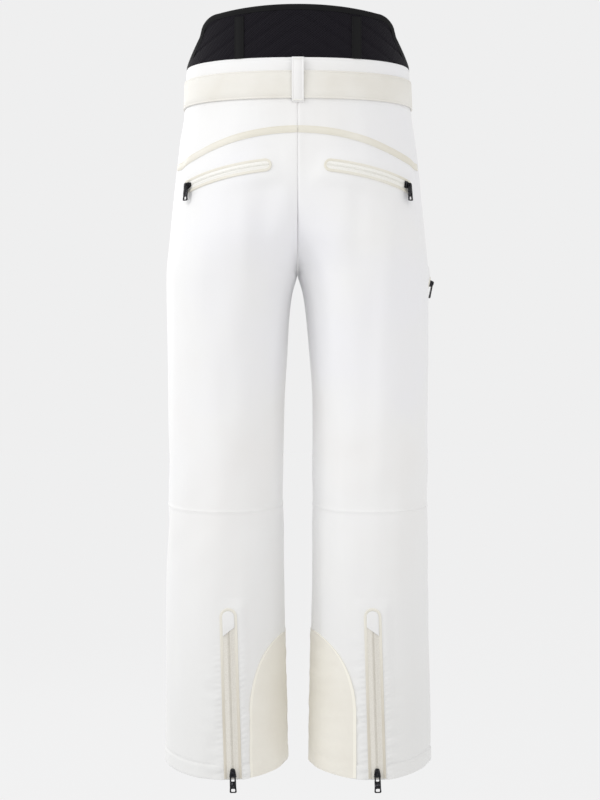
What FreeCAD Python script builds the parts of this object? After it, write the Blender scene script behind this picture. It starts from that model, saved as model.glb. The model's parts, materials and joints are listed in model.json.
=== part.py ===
import FreeCAD, Part
import math
import os

import Sketcher
from FreeCAD import Placement, Rotation, Vector

doc = FreeCAD.newDocument("ski_pants")

# Frame: millimetres, +Z up, the wearer faces -Y, the wearer's left is +X.
# Origin: centre of the waist opening at the top edge of the waistband.

# Cross-section stations down one side of the pants:
# height, outer x, inner x, centre x, half depth behind, half depth in front.
# An inner x below zero means that the oval runs past the middle plane, where
# the two sides meet at the rise seam; above zero it is a separate leg tube.
stations = {
    "crown": (76, 158, -158, 0, 119, 111),
    "waist": (0, 161, -161, 0, 120, 113),
    "beltline": (-62, 163.5, -163.5, 0, 124, 115),
    "yoke": (-120, 170, -150, 12, 129, 117),
    "pocket": (-190, 178, -110, 40, 133, 116),
    "seat": (-240, 183, -50, 70, 133, 114),
    "cleft": (-270, 186, -16, 86, 130, 112),
    "crotch": (-290, 188, -3, 93, 127, 110),
    "fork": (-298, 188.2, 0, 95, 126, 109.5),
    "groin": (-330, 188.5, 8, 98, 121, 107),
    "thigh": (-400, 188.5, 14.5, 101.5, 112, 103),
    "midleg": (-480, 187.5, 20, 103.5, 103, 98),
    "knee": (-626, 186, 22, 104, 94, 92),
    "calf": (-770, 188, 20, 104, 94, 92),
    "hem": (-996, 190.6, 16, 103.3, 94, 94),
}
fields = ("level", "outer", "inner", "centre", "back", "front")

sizes = {
    "oval_power": 2.2,
    "wall": 4,
    "band_gap": 0.3,
    "waistband_depth": 62,
    # webbing belt and its loops
    "belt_top": 19,
    "belt_width": 39,
    "belt_thickness": 2.2,
    "loop_width": 17,
    "loop_cloth": 1.3,
    "front_loop_x": 92,
    # raised back
    "crown_height": 74,
    "crown_half_width": 138,
    "crown_drop": 8,
    "crown_corner": 26,
    "mesh_thickness": 5,
    "binding_width": 9,
    "binding_proud": 0.6,
    "stay_x": 82,
    "stay_width": 14,
    "stay_top": 58,
    "stay_thickness": 1.2,
    "stay_foot": 1,
    # yoke seam, an arc seen square from behind
    "yoke_middle": 101,
    "yoke_side": 144,
    "yoke_reach": 165,
    "tape_width": 10,
    "layer": 1,
    # knee fold
    "knee_reach": 85,
    "knee_hinge_y": -10,
    # lower leg
    "hem_tilt": 14,
    "guard_top": 806,
    "guard_reach": 75,
    "guard_top_x": 14,
    "guard_foot": 1036,
    "leg_turn": 7,
    "snow_cuff_top": 850,
    "snow_cuff_bottom": 978,
    "snow_cuff_taper": 16,
    "snow_cuff_cloth": 1.5,
    "snow_cuff_gap": 0.4,
    # straight zips
    "welt_width": 24,
    "welt_cloth": 1.2,
    "window_width": 10,
    "tape_half": 4.7,
    "tape_cloth": 0.9,
    "teeth_half": 3,
    "teeth_proud": 0.9,
    "ankle_zip_length": 239,
    "ankle_zip_x": 101.3,
    "ankle_zip_shift": -10.3,
    "ankle_zip_lean": 1.7,
    "ankle_zip_foot": 1008,
    "garage_width": 16,
    "garage_height": 30,
    "garage_cloth": 0.8,
    "garage_drop": 2,
    "ankle_slider_rest": 8,
    "fly_zip_length": 140,
    "fly_zip_foot": 205,
    "fly_zip_y": 118.2,
    "fly_slider_rest": 4,
    "fly_shield_margin": 4,
    "fly_shield_gap": 8,
    # sliders and pulls
    "slider_width": 10.6,
    "slider_length": 13,
    "slider_thickness": 3.6,
    "channel_width": 7,
    "channel_depth": 0.6,
    "bail_width": 3.2,
    "bail_length": 8.8,
    "bail_height": 3.8,
    "bail_window": 5.2,
    "bail_clear": 2.6,
    "pull_width": 8,
    "pull_thickness": 1.6,
    "pull_long": 27,
    "pull_short": 22,
    "pull_window_width": 4.8,
    "pull_window_length": 5.2,
    "pull_bar": 1.6,
    "pull_slot_width": 3,
    "pull_slot_length": 6,
    "stud_radius": 1.5,
    "stud_head_radius": 2.7,
    "stud_head_height": 0.8,
    "eye_radius": 1.8,
    "play": 0.3,
    # curved pocket zips
    "pocket_welt_height": 17,
    "pocket_window_height": 9.8,
    "pocket_end": 8,
    "pocket_slider_rest": 5,
    "pocket_inner_x": 38,
    "pocket_outer_x": 158,
    "pocket_inner_level": 151,
    "pocket_outer_level": 178,
    "pocket_lift": 1.6,
    "pocket_bow": 2,
    "bag_cloth": 1.5,
    "thigh_zip_front": 268,
    "thigh_zip_back": 308,
    "thigh_lift": 1.6,
    # buckle
    "buckle_width": 44,
    "buckle_height": 50,
    "buckle_thickness": 2.4,
    "buckle_window": 30,
    "buckle_gap": 1.6,
    "pin_inset": 1.5,
    "barrel_wall": 1,
    "bore_play": 0.05,
    "lever_width": 26,
    "lever_height": 36,
    "lever_thickness": 2.2,
    "hinge_pin_radius": 1.2,
    "snap_radius": 6,
    "snap_height": 1.8,
    "snap_x": 15,
    "snap_drop": 9.3,
}

sheet = doc.addObject("Spreadsheet::Sheet", "Dims")
row = 0


def put(alias, value):
    global row
    row += 1
    sheet.set(f"A{row}", alias)
    sheet.set(f"B{row}", str(value))
    sheet.setAlias(f"B{row}", alias)


for stationName, stationValues in stations.items():
    for fieldName, stationValue in zip(fields, stationValues):
        put(f"{stationName}_{fieldName}", stationValue)
for sizeName, sizeValue in sizes.items():
    put(sizeName, sizeValue)
doc.recompute()


def dim(alias):
    return float(getattr(sheet, alias))


wall = dim("wall")
power = dim("oval_power")
profile = [[dim(f"{name}_{field}") for field in fields] for name in stations]
kneeLevel = dim("knee_level")
kneeTop = kneeLevel + dim("knee_reach")
kneeFoot = kneeLevel - dim("knee_reach")


# ---------------------------------------------------------------- body shape

def slope(i, column):
    if i == 0 or i == len(profile) - 1:
        return 0.0
    before, here, after = profile[i - 1], profile[i], profile[i + 1]
    left = (here[column] - before[column]) / (here[0] - before[0])
    right = (after[column] - here[column]) / (after[0] - here[0])
    if left * right <= 0:
        return 0.0
    return 2 * left * right / (left + right)


def sectionAt(z):
    """Outer x, inner x, centre x, half depth behind and in front at a height."""
    z = max(min(z, profile[0][0]), profile[-1][0])
    i = 0
    while z < profile[i + 1][0]:
        i += 1
        if i == len(profile) - 2:
            break
    low, high = profile[i], profile[i + 1]
    span = high[0] - low[0]
    part = (z - low[0]) / span
    values = []
    for column in range(1, len(fields)):
        startPull = slope(i, column) * span
        endPull = slope(i + 1, column) * span
        values.append(
            (2 * part**3 - 3 * part**2 + 1) * low[column]
            + (part**3 - 2 * part**2 + part) * startPull
            + (3 * part**2 - 2 * part**3) * high[column]
            + (part**3 - part**2) * endPull
        )
    return values


def ovalPoint(z, angle, half, grow, tilt=0.0):
    """Point of the left side's section; the angle runs from 0 at the side seam to 180 at the inseam."""
    outer, inner, centre, back, front = sectionAt(z)
    cosine = math.cos(angle)
    reach = (outer - centre if cosine > 0 else centre - inner) + grow
    depth = (back if half > 0 else front) + grow
    x = centre + math.copysign(reach * abs(cosine) ** (2 / power), cosine)
    y = half * depth * abs(math.sin(angle)) ** (2 / power)
    return Vector(max(x, 0.0), y, z - tilt * y / dim("hem_back"))


def seamAngle(z, grow):
    """Angle at which the section meets the middle plane, or 180 degrees below the crotch."""
    outer, inner, centre, back, front = sectionAt(z)
    reach = centre - inner + grow
    if reach <= centre:
        return math.pi
    return math.pi - math.acos((centre / reach) ** (power / 2))


def stripCurve(z, half, grow, first, last, tilt, count=11):
    """Points between two fractions of the way from the middle seam to the side seam."""
    start = seamAngle(z, grow)
    points = []
    for k in range(count):
        share = first + (last - first) * k / (count - 1)
        points.append(ovalPoint(z, start * (1 - share), half, grow, tilt))
    return points


def wrapCurve(z, grow, first, tilt, count=15):
    """Points from behind, round the inseam, to the same angle in front."""
    points = []
    for k in range(count):
        angle = first + 2 * (math.pi - first) * k / (count - 1)
        if angle <= math.pi:
            points.append(ovalPoint(z, angle, 1, grow, tilt))
        else:
            points.append(ovalPoint(z, 2 * math.pi - angle, -1, grow, tilt))
    return points


def wallWire(outside, inside):
    """Closed outline of a wall between an outer and an inner curve."""
    inside.reverse()
    splines = []
    for points in (outside, inside):
        spline = Part.BSplineCurve()
        spline.interpolate(points)
        splines.append(spline.toShape())
    edges = [
        splines[0],
        Part.makeLine(outside[-1], inside[0]),
        splines[1],
        Part.makeLine(inside[-1], outside[0]),
    ]
    return Part.Wire(edges)


def strip(levels, half, growOut, growIn, first=0.0, last=1.0, tilt=0.0):
    """Wall of the left side lofted through the given heights; the tilt applies to the last one."""
    wires = []
    for z in levels:
        lean = tilt if z == levels[-1] else 0.0
        outside, inside = [stripCurve(z, half, grow, first, last, lean) for grow in (growOut, growIn)]
        wires.append(wallWire(outside, inside))
    return loftSolid(wires)


def wrapStrip(levels, growOut, growIn, first, tilt=0.0):
    """Wall of the left leg round its inseam; the tilt applies to the last height."""
    wires = []
    for z in levels:
        lean = tilt if z == levels[-1] else 0.0
        wires.append(wallWire(*[wrapCurve(z, grow, first, lean) for grow in (growOut, growIn)]))
    return loftSolid(wires)


def loftSolid(wires):
    solid = Part.makeLoft(wires, True, True)
    if solid.Volume < 0:
        solid.reverse()
    return solid


def prismAlongY(points, y0, y1):
    wire = Part.makePolygon([Vector(x, y0, z) for x, z in points + points[:1]])
    return Part.Face(wire).extrude(Vector(0, y1 - y0, 0))


def mirrored(shape):
    return shape.mirror(Vector(0, 0, 0), Vector(1, 0, 0))


parts = []


def addShape(label, shape):
    """A free-form piece whose shape comes from the section stations."""
    feature = doc.addObject("Part::Feature", label)
    feature.Label = label
    feature.Shape = shape
    feature.Placement = Placement()
    parts.append(feature)
    return feature


def addPair(label, shape):
    addShape(f"{label}_left", shape)
    addShape(f"{label}_right", mirrored(shape))


def oneSolid(shape):
    """The largest solid of a boolean's result."""
    return max(shape.Solids, key=lambda solid: solid.Volume)


# ---------------------------------------------------------------- fabric panels

forkLevel = dim("fork_level")
bandFoot = -dim("waistband_depth")
riseLevels = [bandFoot, -90, -120, -155, -190, -220, -245, -265, -280, -290, -295]
thighLevels = [forkLevel, -305, -316, -330, -360, -400, -440, -480, kneeTop]
leftHalf = Part.makeBox(300, 400, 1200, Vector(0, -200, -1100))


def upperPanel(half):
    return strip(riseLevels + thighLevels, half, 0, -wall).common(leftHalf)


def yokeArc(drop):
    """The yoke seam as an arc through its middle and its two side points, moved down by a drop."""
    reach = dim("yoke_reach")
    middle = Vector(0, 0, -dim("yoke_middle") - drop)
    side = -dim("yoke_side") - drop
    return Part.Arc(Vector(-reach, 0, side), middle, Vector(reach, 0, side))


def underYoke(drop, depth=500):
    """Everything behind the side seams that lies lower than the yoke seam."""
    edge = yokeArc(drop).toShape()
    first, last = edge.Vertexes[0].Point, edge.Vertexes[-1].Point
    low = first.z - depth
    wide = 60
    # the seam runs on level past the side points
    outline = [
        Part.makeLine(Vector(first.x - wide, 0, first.z), first),
        edge,
        Part.makeLine(last, Vector(last.x + wide, 0, last.z)),
        Part.makeLine(Vector(last.x + wide, 0, last.z), Vector(last.x + wide, 0, low)),
        Part.makeLine(Vector(last.x + wide, 0, low), Vector(first.x - wide, 0, low)),
        Part.makeLine(Vector(first.x - wide, 0, low), Vector(first.x - wide, 0, first.z)),
    ]
    return Part.Face(Part.Wire(outline)).extrude(Vector(0, 300, 0))


backPanel = upperPanel(1)
below = underYoke(0)
addPair("back_yoke", oneSolid(backPanel.cut(below)))
addPair("seat_and_thigh_back", oneSolid(backPanel.common(below)))
addPair("front_thigh", oneSolid(upperPanel(-1)))

tapeLayer = strip([-75, -90, -120, -155, -175], 1, dim("layer") + 0.2, 0.2)
halfTape = dim("tape_width") / 2
addPair("yoke_tape", oneSolid(tapeLayer.common(underYoke(-halfTape)).cut(underYoke(halfTape))))


def legRing(z, grow):
    """The whole section of the left leg as one closed curve."""
    points = [ovalPoint(z, math.pi * k / 8, 1, grow) for k in range(9)]
    points += [ovalPoint(z, math.pi - math.pi * k / 8, -1, grow) for k in range(1, 8)]
    curve = Part.BSplineCurve()
    curve.interpolate(Points=points, PeriodicFlag=True)
    return Part.Wire(curve.toShape())


def legTube(levels, grows, cloth):
    outside = Part.makeLoft([legRing(z, grow) for z, grow in zip(levels, grows)], True, True)
    inside = Part.makeLoft([legRing(z, grow - cloth) for z, grow in zip(levels, grows)], True, True)
    return oneSolid(outside.cut(inside))


kneeLevels = [kneeTop, kneeLevel + 40, kneeLevel, kneeLevel - 40, kneeFoot + dim("play")]
addPair("knee_section", legTube(kneeLevels, [0] * len(kneeLevels), wall))

hemLevel = dim("hem_level")
shinLevels = [kneeFoot, -770, -850, -930, hemLevel]
addPair("lower_leg_back", strip(shinLevels, 1, 0, -wall, tilt=dim("hem_tilt")))
addPair("lower_leg_front", strip(shinLevels, -1, 0, -wall, tilt=dim("hem_tilt")))

# scuff guards: a layer on the inner calf, higher at the inseam than at its outer edge
guardLevels = [-790, -850, -930, hemLevel]
guardLayer = wrapStrip(guardLevels, dim("layer") + 0.2, 0.2, 0.35 * math.pi, dim("hem_tilt"))


# the guard's outer edge, as shares of its reach and depths below its top
guardEdge = ((0.56, 36), (0.86, 84), (0.97, 130))


def guardOutline(reach):
    """The guard seen square from behind, as a prism through the whole leg."""
    before = -150
    pastInseam = -20
    top = -dim("guard_top")
    foot = -dim("guard_foot")
    start = Vector(dim("guard_top_x"), before, top)
    end = Vector(reach, before, foot)
    edge = Part.BSplineCurve()
    edge.interpolate([start] + [Vector(share * reach, before, top - drop) for share, drop in guardEdge] + [end])
    corners = [end, Vector(pastInseam, before, foot), Vector(pastInseam, before, top), start]
    outline = [edge.toShape()] + [Part.makeLine(a, b) for a, b in zip(corners, corners[1:])]
    return Part.Face(Part.Wire(outline)).extrude(Vector(0, -2 * before, 0))


guardReach = dim("guard_reach")
turn = dim("leg_turn")
addShape("scuff_guard_left", oneSolid(guardLayer.common(guardOutline(guardReach - turn))))
addShape("scuff_guard_right", oneSolid(mirrored(guardLayer.common(guardOutline(guardReach + turn)))))

# snow cuffs: tapered inner tubes sewn inside the calf
cuffLevels = [-dim("snow_cuff_top"), -dim("snow_cuff_bottom")]
cuffTop = -wall - dim("snow_cuff_gap")
cuffGrows = [cuffTop, cuffTop - dim("snow_cuff_taper")]
addPair("snow_cuff", legTube(cuffLevels, cuffGrows, dim("snow_cuff_cloth")))

# pocket bags hang inside the seat, between two shares of the way to the side seam
bagLevels = [-165, -200, -240, -285]
bagShares = (0.28, 0.78)
bagGap = dim("bag_cloth")
addPair("back_pocket_bag", strip(bagLevels, 1, -wall - bagGap, -wall - 2 * bagGap, *bagShares))

# ---------------------------------------------------------------- waist


def fullRing(z, grow, count=16):
    outer, inner, centre, back, front = sectionAt(z)
    points = []
    for k in range(count):
        angle = 2 * math.pi * k / count
        cosine, sine = math.cos(angle), math.sin(angle)
        x = math.copysign((outer + grow) * abs(cosine) ** (2 / power), cosine)
        y = math.copysign(((back if sine > 0 else front) + grow) * abs(sine) ** (2 / power), sine)
        points.append(Vector(x, y, z))
    curve = Part.BSplineCurve()
    curve.interpolate(Points=points, PeriodicFlag=True)
    return Part.Wire(curve.toShape())


def ringWall(levels, growOut, growIn):
    outside = Part.makeLoft([fullRing(z, growOut) for z in levels], True, False)
    inside = Part.makeLoft([fullRing(z, growIn) for z in levels], True, False)
    return oneSolid(outside.cut(inside))


addShape("waistband", ringWall([0, -30, bandFoot], 0, -wall))
beltTop = -dim("belt_top")
beltFoot = beltTop - dim("belt_width")
beltOut = dim("band_gap") + dim("belt_thickness")
addShape("belt_webbing", ringWall([beltTop, (beltTop + beltFoot) / 2, beltFoot], beltOut, dim("band_gap")))


def crownOutline(inset):
    """The raised back seen square from behind: a crowned top edge, round corners and slanted sides."""
    height = dim("crown_height") - inset
    half = dim("crown_half_width") - inset
    corner = dim("crown_corner") - 0.4 * inset
    shoulder = height - dim("crown_drop")
    footHalf = dim("waist_outer") - inset
    leftFoot = Vector(-footHalf, -1, 0.2)
    rightFoot = Vector(footHalf, -1, 0.2)
    leftTop = Vector(-half + corner, -1, shoulder)
    rightTop = Vector(half - corner, -1, shoulder)
    leftSide = Vector(-half, -1, shoulder - corner)
    rightSide = Vector(half, -1, shoulder - corner)
    bend = corner * (1 - math.sqrt(0.5))
    outline = [
        Part.makeLine(leftFoot, leftSide),
        Part.Arc(leftSide, Vector(-half + bend, -1, shoulder - bend), leftTop).toShape(),
        Part.Arc(leftTop, Vector(0, -1, height), rightTop).toShape(),
        Part.Arc(rightTop, Vector(half - bend, -1, shoulder - bend), rightSide).toShape(),
        Part.makeLine(rightSide, rightFoot),
        Part.makeLine(rightFoot, leftFoot),
    ]
    return Part.Face(Part.Wire(outline)).extrude(Vector(0, 200, 0))


crownLevels = [0.2, 25, 50, 76]
meshLayer = ringWall(crownLevels, 0, -dim("mesh_thickness"))
proud = dim("binding_proud")
bindingLayer = ringWall(crownLevels, proud, -dim("mesh_thickness") - proud)
bindingWidth = dim("binding_width")
bindingRim = crownOutline(0).cut(crownOutline(bindingWidth))
addShape("lumbar_mesh_panel", oneSolid(meshLayer.common(crownOutline(bindingWidth))))
addShape("lumbar_binding", oneSolid(bindingLayer.common(bindingRim)))
stayLayer = ringWall(crownLevels, 0.2 + dim("stay_thickness"), 0.2)
for sideName, sign in (("left", 1), ("right", -1)):
    middle = sign * dim("stay_x")
    halfStay = dim("stay_width") / 2
    outline = [
        (middle - halfStay, dim("stay_foot")),
        (middle + halfStay, dim("stay_foot")),
        (middle + halfStay, dim("stay_top")),
        (middle - halfStay, dim("stay_top")),
    ]
    addShape(f"lumbar_stay_{sideName}", oneSolid(stayLayer.common(prismAlongY(outline, 0, 200))))

# ---------------------------------------------------------------- hardware made from sketches


def plane(body, role):
    return next(feature for feature in body.Origin.OriginFeatures if feature.Role == role)


def newBody(label):
    body = doc.addObject("PartDesign::Body", label)
    body.Label = label
    parts.append(body)
    return body


def newSketch(body, role, name, lift=None):
    sketch = body.newObject("Sketcher::SketchObject", name)
    sketch.AttachmentSupport = [(plane(body, role), "")]
    sketch.MapMode = "FlatFace"
    if lift:
        sketch.setExpression("AttachmentOffset.Base.z", lift)
    return sketch


def rectangle(sketch, width, height, left, foot):
    """A rectangle whose width, height and lower-left corner are given as sheet expressions."""
    def corner(x, y):
        return Vector(x, y, 0)
    first = sketch.GeometryCount
    sketch.addGeometry(Part.LineSegment(corner(0, 0), corner(9, 0)), False)
    sketch.addGeometry(Part.LineSegment(corner(9, 0), corner(9, 5)), False)
    sketch.addGeometry(Part.LineSegment(corner(9, 5), corner(0, 5)), False)
    sketch.addGeometry(Part.LineSegment(corner(0, 5), corner(0, 0)), False)
    for k in range(4):
        sketch.addConstraint(Sketcher.Constraint("Coincident", first + k, 2, first + (k + 1) % 4, 1))
    sketch.addConstraint(Sketcher.Constraint("Horizontal", first))
    sketch.addConstraint(Sketcher.Constraint("Horizontal", first + 2))
    sketch.addConstraint(Sketcher.Constraint("Vertical", first + 1))
    sketch.addConstraint(Sketcher.Constraint("Vertical", first + 3))
    for kind, args, expression in (
        ("DistanceX", (first, 1, first, 2), width),
        ("DistanceY", (first + 1, 1, first + 1, 2), height),
        ("DistanceX", (-1, 1, first, 1), left),
        ("DistanceY", (-1, 1, first, 1), foot),
    ):
        index = sketch.addConstraint(Sketcher.Constraint(kind, *args, 1.0))
        sketch.setExpression(f"Constraints[{index}]", expression)


def circle(sketch, radius, x="0", y="0"):
    first = sketch.addGeometry(Part.Circle(Vector(0, 0, 0), Vector(0, 0, 1), 2), False)
    index = sketch.addConstraint(Sketcher.Constraint("Radius", first, 2.0))
    sketch.setExpression(f"Constraints[{index}]", radius)
    for kind, expression in (("DistanceX", x), ("DistanceY", y)):
        index = sketch.addConstraint(Sketcher.Constraint(kind, -1, 1, first, 3, 1.0))
        sketch.setExpression(f"Constraints[{index}]", expression)


def pad(body, sketch, length, name, midplane=False, reverse=False):
    feature = body.newObject("PartDesign::Pad", name)
    feature.Profile = sketch
    feature.setExpression("Length", length)
    feature.Midplane = midplane
    feature.Reversed = reverse
    return feature


def pocket(body, sketch, length, name, midplane=False, reverse=False):
    feature = body.newObject("PartDesign::Pocket", name)
    feature.Profile = sketch
    feature.setExpression("Length", length)
    feature.Midplane = midplane
    feature.Reversed = reverse
    return feature


def revolve(body, sketch, kind, angle, name):
    feature = body.newObject(f"PartDesign::{kind}", name)
    feature.Profile = sketch
    feature.ReferenceAxis = (sketch, ["V_Axis"])
    feature.Midplane = True
    feature.Angle = angle
    return feature


def place(body, base, xAxis, yAxis):
    """Stand a body at a point with its own X and Y axes along the given directions."""
    xAxis = Vector(xAxis).normalize()
    yAxis = Vector(yAxis).normalize()
    zAxis = xAxis.cross(yAxis)
    body.Placement = Placement(base, Rotation(xAxis, yAxis, zAxis, "ZXY"))


# belt loops: a strip of cloth that bridges the belt and is tacked above and below it

def buildLoop(label, x, facing):
    body = newBody(label)
    outline = newSketch(body, "XY_Plane", f"{label}_strip")
    drop = "-Dims.waistband_depth"
    rectangle(outline, "Dims.loop_width", "Dims.waistband_depth", "-Dims.loop_width / 2", drop)
    depth = "Dims.loop_cloth + Dims.belt_thickness + 2 * Dims.play + Dims.band_gap"
    pad(body, outline, depth, f"{label}_thickness")
    passage = newSketch(body, "XY_Plane", f"{label}_passage")
    rectangle(
        passage,
        "Dims.loop_width * 2",
        "Dims.belt_width + 4 * Dims.play",
        "-Dims.loop_width",
        "-Dims.belt_top - Dims.belt_width - 2 * Dims.play",
    )
    pocket(body, passage, depth + " - Dims.loop_cloth", f"{label}_belt_passage", reverse=True)
    foot = ovalWaist(x, bandFoot, facing)
    normal = waistNormal(x, bandFoot, facing)
    upright = Vector(0, 0, 1)
    place(body, foot + normal * dim("play") - upright * bandFoot, upright.cross(normal), upright)


def ovalWaist(x, z, facing):
    """Point of the waistband's outer face at an x, behind or in front."""
    outer, inner, centre, back, front = sectionAt(z)
    depth = back if facing > 0 else front
    y = facing * depth * (1 - abs(x / outer) ** power) ** (1 / power)
    return Vector(x, y, z)


def waistNormal(x, z, facing):
    step = 2
    along = ovalWaist(x + step, z, facing) - ovalWaist(x - step, z, facing)
    return (Vector(0, 0, 1).cross(along) * facing).normalize()


buildLoop("belt_loop_back", 0, 1)
buildLoop("belt_loop_front_left", dim("front_loop_x"), -1)
buildLoop("belt_loop_front_right", -dim("front_loop_x"), -1)

# straight zips: X across, Y out of the cloth, Z up along the zip, origin at its foot


def buildWelt(label, length):
    body = newBody(label)
    outline = newSketch(body, "XZ_Plane", f"{label}_patch")
    rectangle(outline, "Dims.welt_width", length, "-Dims.welt_width / 2", "0")
    pad(body, outline, "Dims.welt_cloth", f"{label}_cloth", reverse=True)
    window = newSketch(body, "XZ_Plane", f"{label}_window")
    rectangle(
        window,
        "Dims.window_width",
        f"{length} - Dims.window_width / 2",
        "-Dims.window_width / 2",
        "-Dims.play",
    )
    pocket(body, window, "Dims.welt_cloth * 3", f"{label}_opening", midplane=True)
    return body


def buildChain(label, length):
    body = newBody(label)
    tape = newSketch(body, "XY_Plane", f"{label}_tape_section")
    rectangle(tape, "2 * Dims.tape_half", "Dims.tape_cloth", "-Dims.tape_half", "0")
    pad(body, tape, length, f"{label}_tape")
    teeth = newSketch(body, "XY_Plane", f"{label}_teeth_section")
    teethFoot = "Dims.tape_cloth - Dims.play"
    rectangle(teeth, "2 * Dims.teeth_half", "Dims.teeth_proud + Dims.play", "-Dims.teeth_half", teethFoot)
    pad(body, teeth, length, f"{label}_teeth")
    return body


def buildSlider(label, bail):
    """Slider: X across, Y out of the cloth, Z along the zip; it carries a bail or a stud."""
    body = newBody(label)
    block = newSketch(body, "XY_Plane", f"{label}_section")
    rectangle(block, "Dims.slider_width", "Dims.slider_thickness", "-Dims.slider_width / 2", "0")
    pad(body, block, "Dims.slider_length", f"{label}_block", midplane=True)
    channel = newSketch(body, "XY_Plane", f"{label}_channel_section")
    channelSizes = ("Dims.channel_width", "Dims.channel_depth * 2", "-Dims.channel_width / 2", "-Dims.channel_depth")
    rectangle(channel, *channelSizes)
    pocket(body, channel, "Dims.slider_length * 2", f"{label}_channel", midplane=True)
    if bail:
        crown = newSketch(body, "YZ_Plane", f"{label}_bail_outline")
        rectangle(
            crown,
            "Dims.bail_height + Dims.play",
            "Dims.bail_length",
            "Dims.slider_thickness - Dims.play",
            "-Dims.bail_length / 2",
        )
        pad(body, crown, "Dims.bail_width", f"{label}_bail", midplane=True)
        eye = newSketch(body, "YZ_Plane", f"{label}_bail_eye")
        rectangle(eye, "Dims.bail_clear", "Dims.bail_window", "Dims.slider_thickness", "-Dims.bail_window / 2")
        pocket(body, eye, "Dims.bail_width * 3", f"{label}_bail_window", midplane=True)
    else:
        stud = newSketch(body, "XZ_Plane", f"{label}_stud_section")
        circle(stud, "Dims.stud_radius")
        pad(
            body,
            stud,
            "Dims.slider_thickness + Dims.pull_thickness + 2 * Dims.play + Dims.stud_head_height",
            f"{label}_stud",
            reverse=True,
        )
        headLift = "-Dims.slider_thickness - Dims.pull_thickness - 2 * Dims.play"
        head = newSketch(body, "XZ_Plane", f"{label}_head_section", headLift)
        circle(head, "Dims.stud_head_radius")
        pad(body, head, "Dims.stud_head_height", f"{label}_head", reverse=True)
        trim = newSketch(body, "XY_Plane", f"{label}_trim_section")
        rectangle(trim, *channelSizes)
        pocket(body, trim, "Dims.slider_length * 2", f"{label}_trim", midplane=True)
    return body


def buildPull(label, length, bail):
    """Pull hanging along -Z from its pivot, half its thickness each side of its own XZ plane."""
    body = newBody(label)
    plate = newSketch(body, "XZ_Plane", f"{label}_outline")
    top = "Dims.pull_bar / 2" if bail else "Dims.eye_radius + Dims.pull_bar"
    rectangle(plate, "Dims.pull_width", f"{length} + {top}", "-Dims.pull_width / 2", f"-{length}")
    pad(body, plate, "Dims.pull_thickness", f"{label}_plate", midplane=True)
    if bail:
        window = newSketch(body, "XZ_Plane", f"{label}_window_outline")
        rectangle(
            window,
            "Dims.pull_window_width",
            "Dims.pull_window_length",
            "-Dims.pull_window_width / 2",
            "-Dims.pull_bar / 2 - Dims.pull_window_length",
        )
        pocket(body, window, "Dims.pull_thickness * 3", f"{label}_window", midplane=True)
    else:
        eye = newSketch(body, "XZ_Plane", f"{label}_eye_outline")
        circle(eye, "Dims.eye_radius")
        pocket(body, eye, "Dims.pull_thickness * 3", f"{label}_eye", midplane=True)
    slot = newSketch(body, "XZ_Plane", f"{label}_slot_outline")
    rectangle(
        slot,
        "Dims.pull_slot_width",
        "Dims.pull_slot_length",
        "-Dims.pull_slot_width / 2",
        f"-{length} + Dims.pull_slot_width",
    )
    pocket(body, slot, "Dims.pull_thickness * 3", f"{label}_slot", midplane=True)
    return body


weltLift = dim("play")
chainTop = weltLift + dim("tape_cloth") + dim("teeth_proud")
sliderLift = chainTop - dim("channel_depth") + dim("play")
pinLift = sliderLift + dim("slider_thickness") + dim("bail_clear") / 2
studLift = sliderLift + dim("slider_thickness") + dim("play") + dim("pull_thickness") / 2
jointPoints = {}

for sideName, sign in (("left", 1), ("right", -1)):
    lean = math.radians(dim("ankle_zip_lean"))
    upward = Vector(math.sin(lean), 0, math.cos(lean))
    outward = Vector(0, 1, 0)
    across = outward.cross(upward)
    footX = sign * dim("ankle_zip_x") + dim("ankle_zip_shift")
    foot = Vector(footX, dim("calf_back") + weltLift, -dim("ankle_zip_foot"))
    place(buildWelt(f"ankle_zip_welt_{sideName}", "Dims.ankle_zip_length"), foot, across, outward)
    chain = buildChain(f"ankle_zip_chain_{sideName}", "Dims.ankle_zip_length - Dims.window_width")
    place(chain, foot, across, outward)
    garage = newBody(f"ankle_zip_garage_{sideName}")
    flap = newSketch(garage, "XZ_Plane", f"garage_outline_{sideName}")
    rectangle(flap, "Dims.garage_width", "Dims.garage_height", "-Dims.garage_width / 2", "-Dims.garage_height")
    pad(garage, flap, "Dims.garage_cloth", f"garage_cloth_{sideName}", reverse=True)
    top = foot + upward * (dim("ankle_zip_length") - dim("garage_drop"))
    top += outward * (chainTop + dim("play") - weltLift)
    place(garage, top, across, outward)
    rest = foot + upward * dim("ankle_slider_rest") - outward * weltLift
    place(buildSlider(f"ankle_zip_slider_{sideName}", True), rest + outward * sliderLift, across, outward)
    pivot = rest + outward * pinLift
    place(buildPull(f"ankle_zip_pull_{sideName}", "Dims.pull_long", True), pivot, across, outward)
    jointPoints[f"ankle_{sideName}"] = {"pivot": pivot, "upward": upward, "across": across}

flyFoot = Vector(0, -dim("fly_zip_y"), -dim("fly_zip_foot"))
forward = Vector(0, -1, 0)
flyAcross = forward.cross(Vector(0, 0, 1))
place(buildWelt("fly_zip_welt", "Dims.fly_zip_length"), flyFoot, flyAcross, forward)
place(buildChain("fly_zip_chain", "Dims.fly_zip_length - Dims.window_width"), flyFoot, flyAcross, forward)
flyRise = dim("fly_zip_length") - dim("slider_length") - dim("fly_slider_rest")
flyRest = flyFoot + Vector(0, 0, flyRise) - forward * weltLift
place(buildSlider("fly_zip_slider", True), flyRest + forward * sliderLift, flyAcross, forward)
flyPivot = flyRest + forward * pinLift
place(buildPull("fly_zip_pull", "Dims.pull_short", True), flyPivot, flyAcross, forward)
jointPoints["fly"] = {"pivot": flyPivot, "across": flyAcross}

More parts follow.
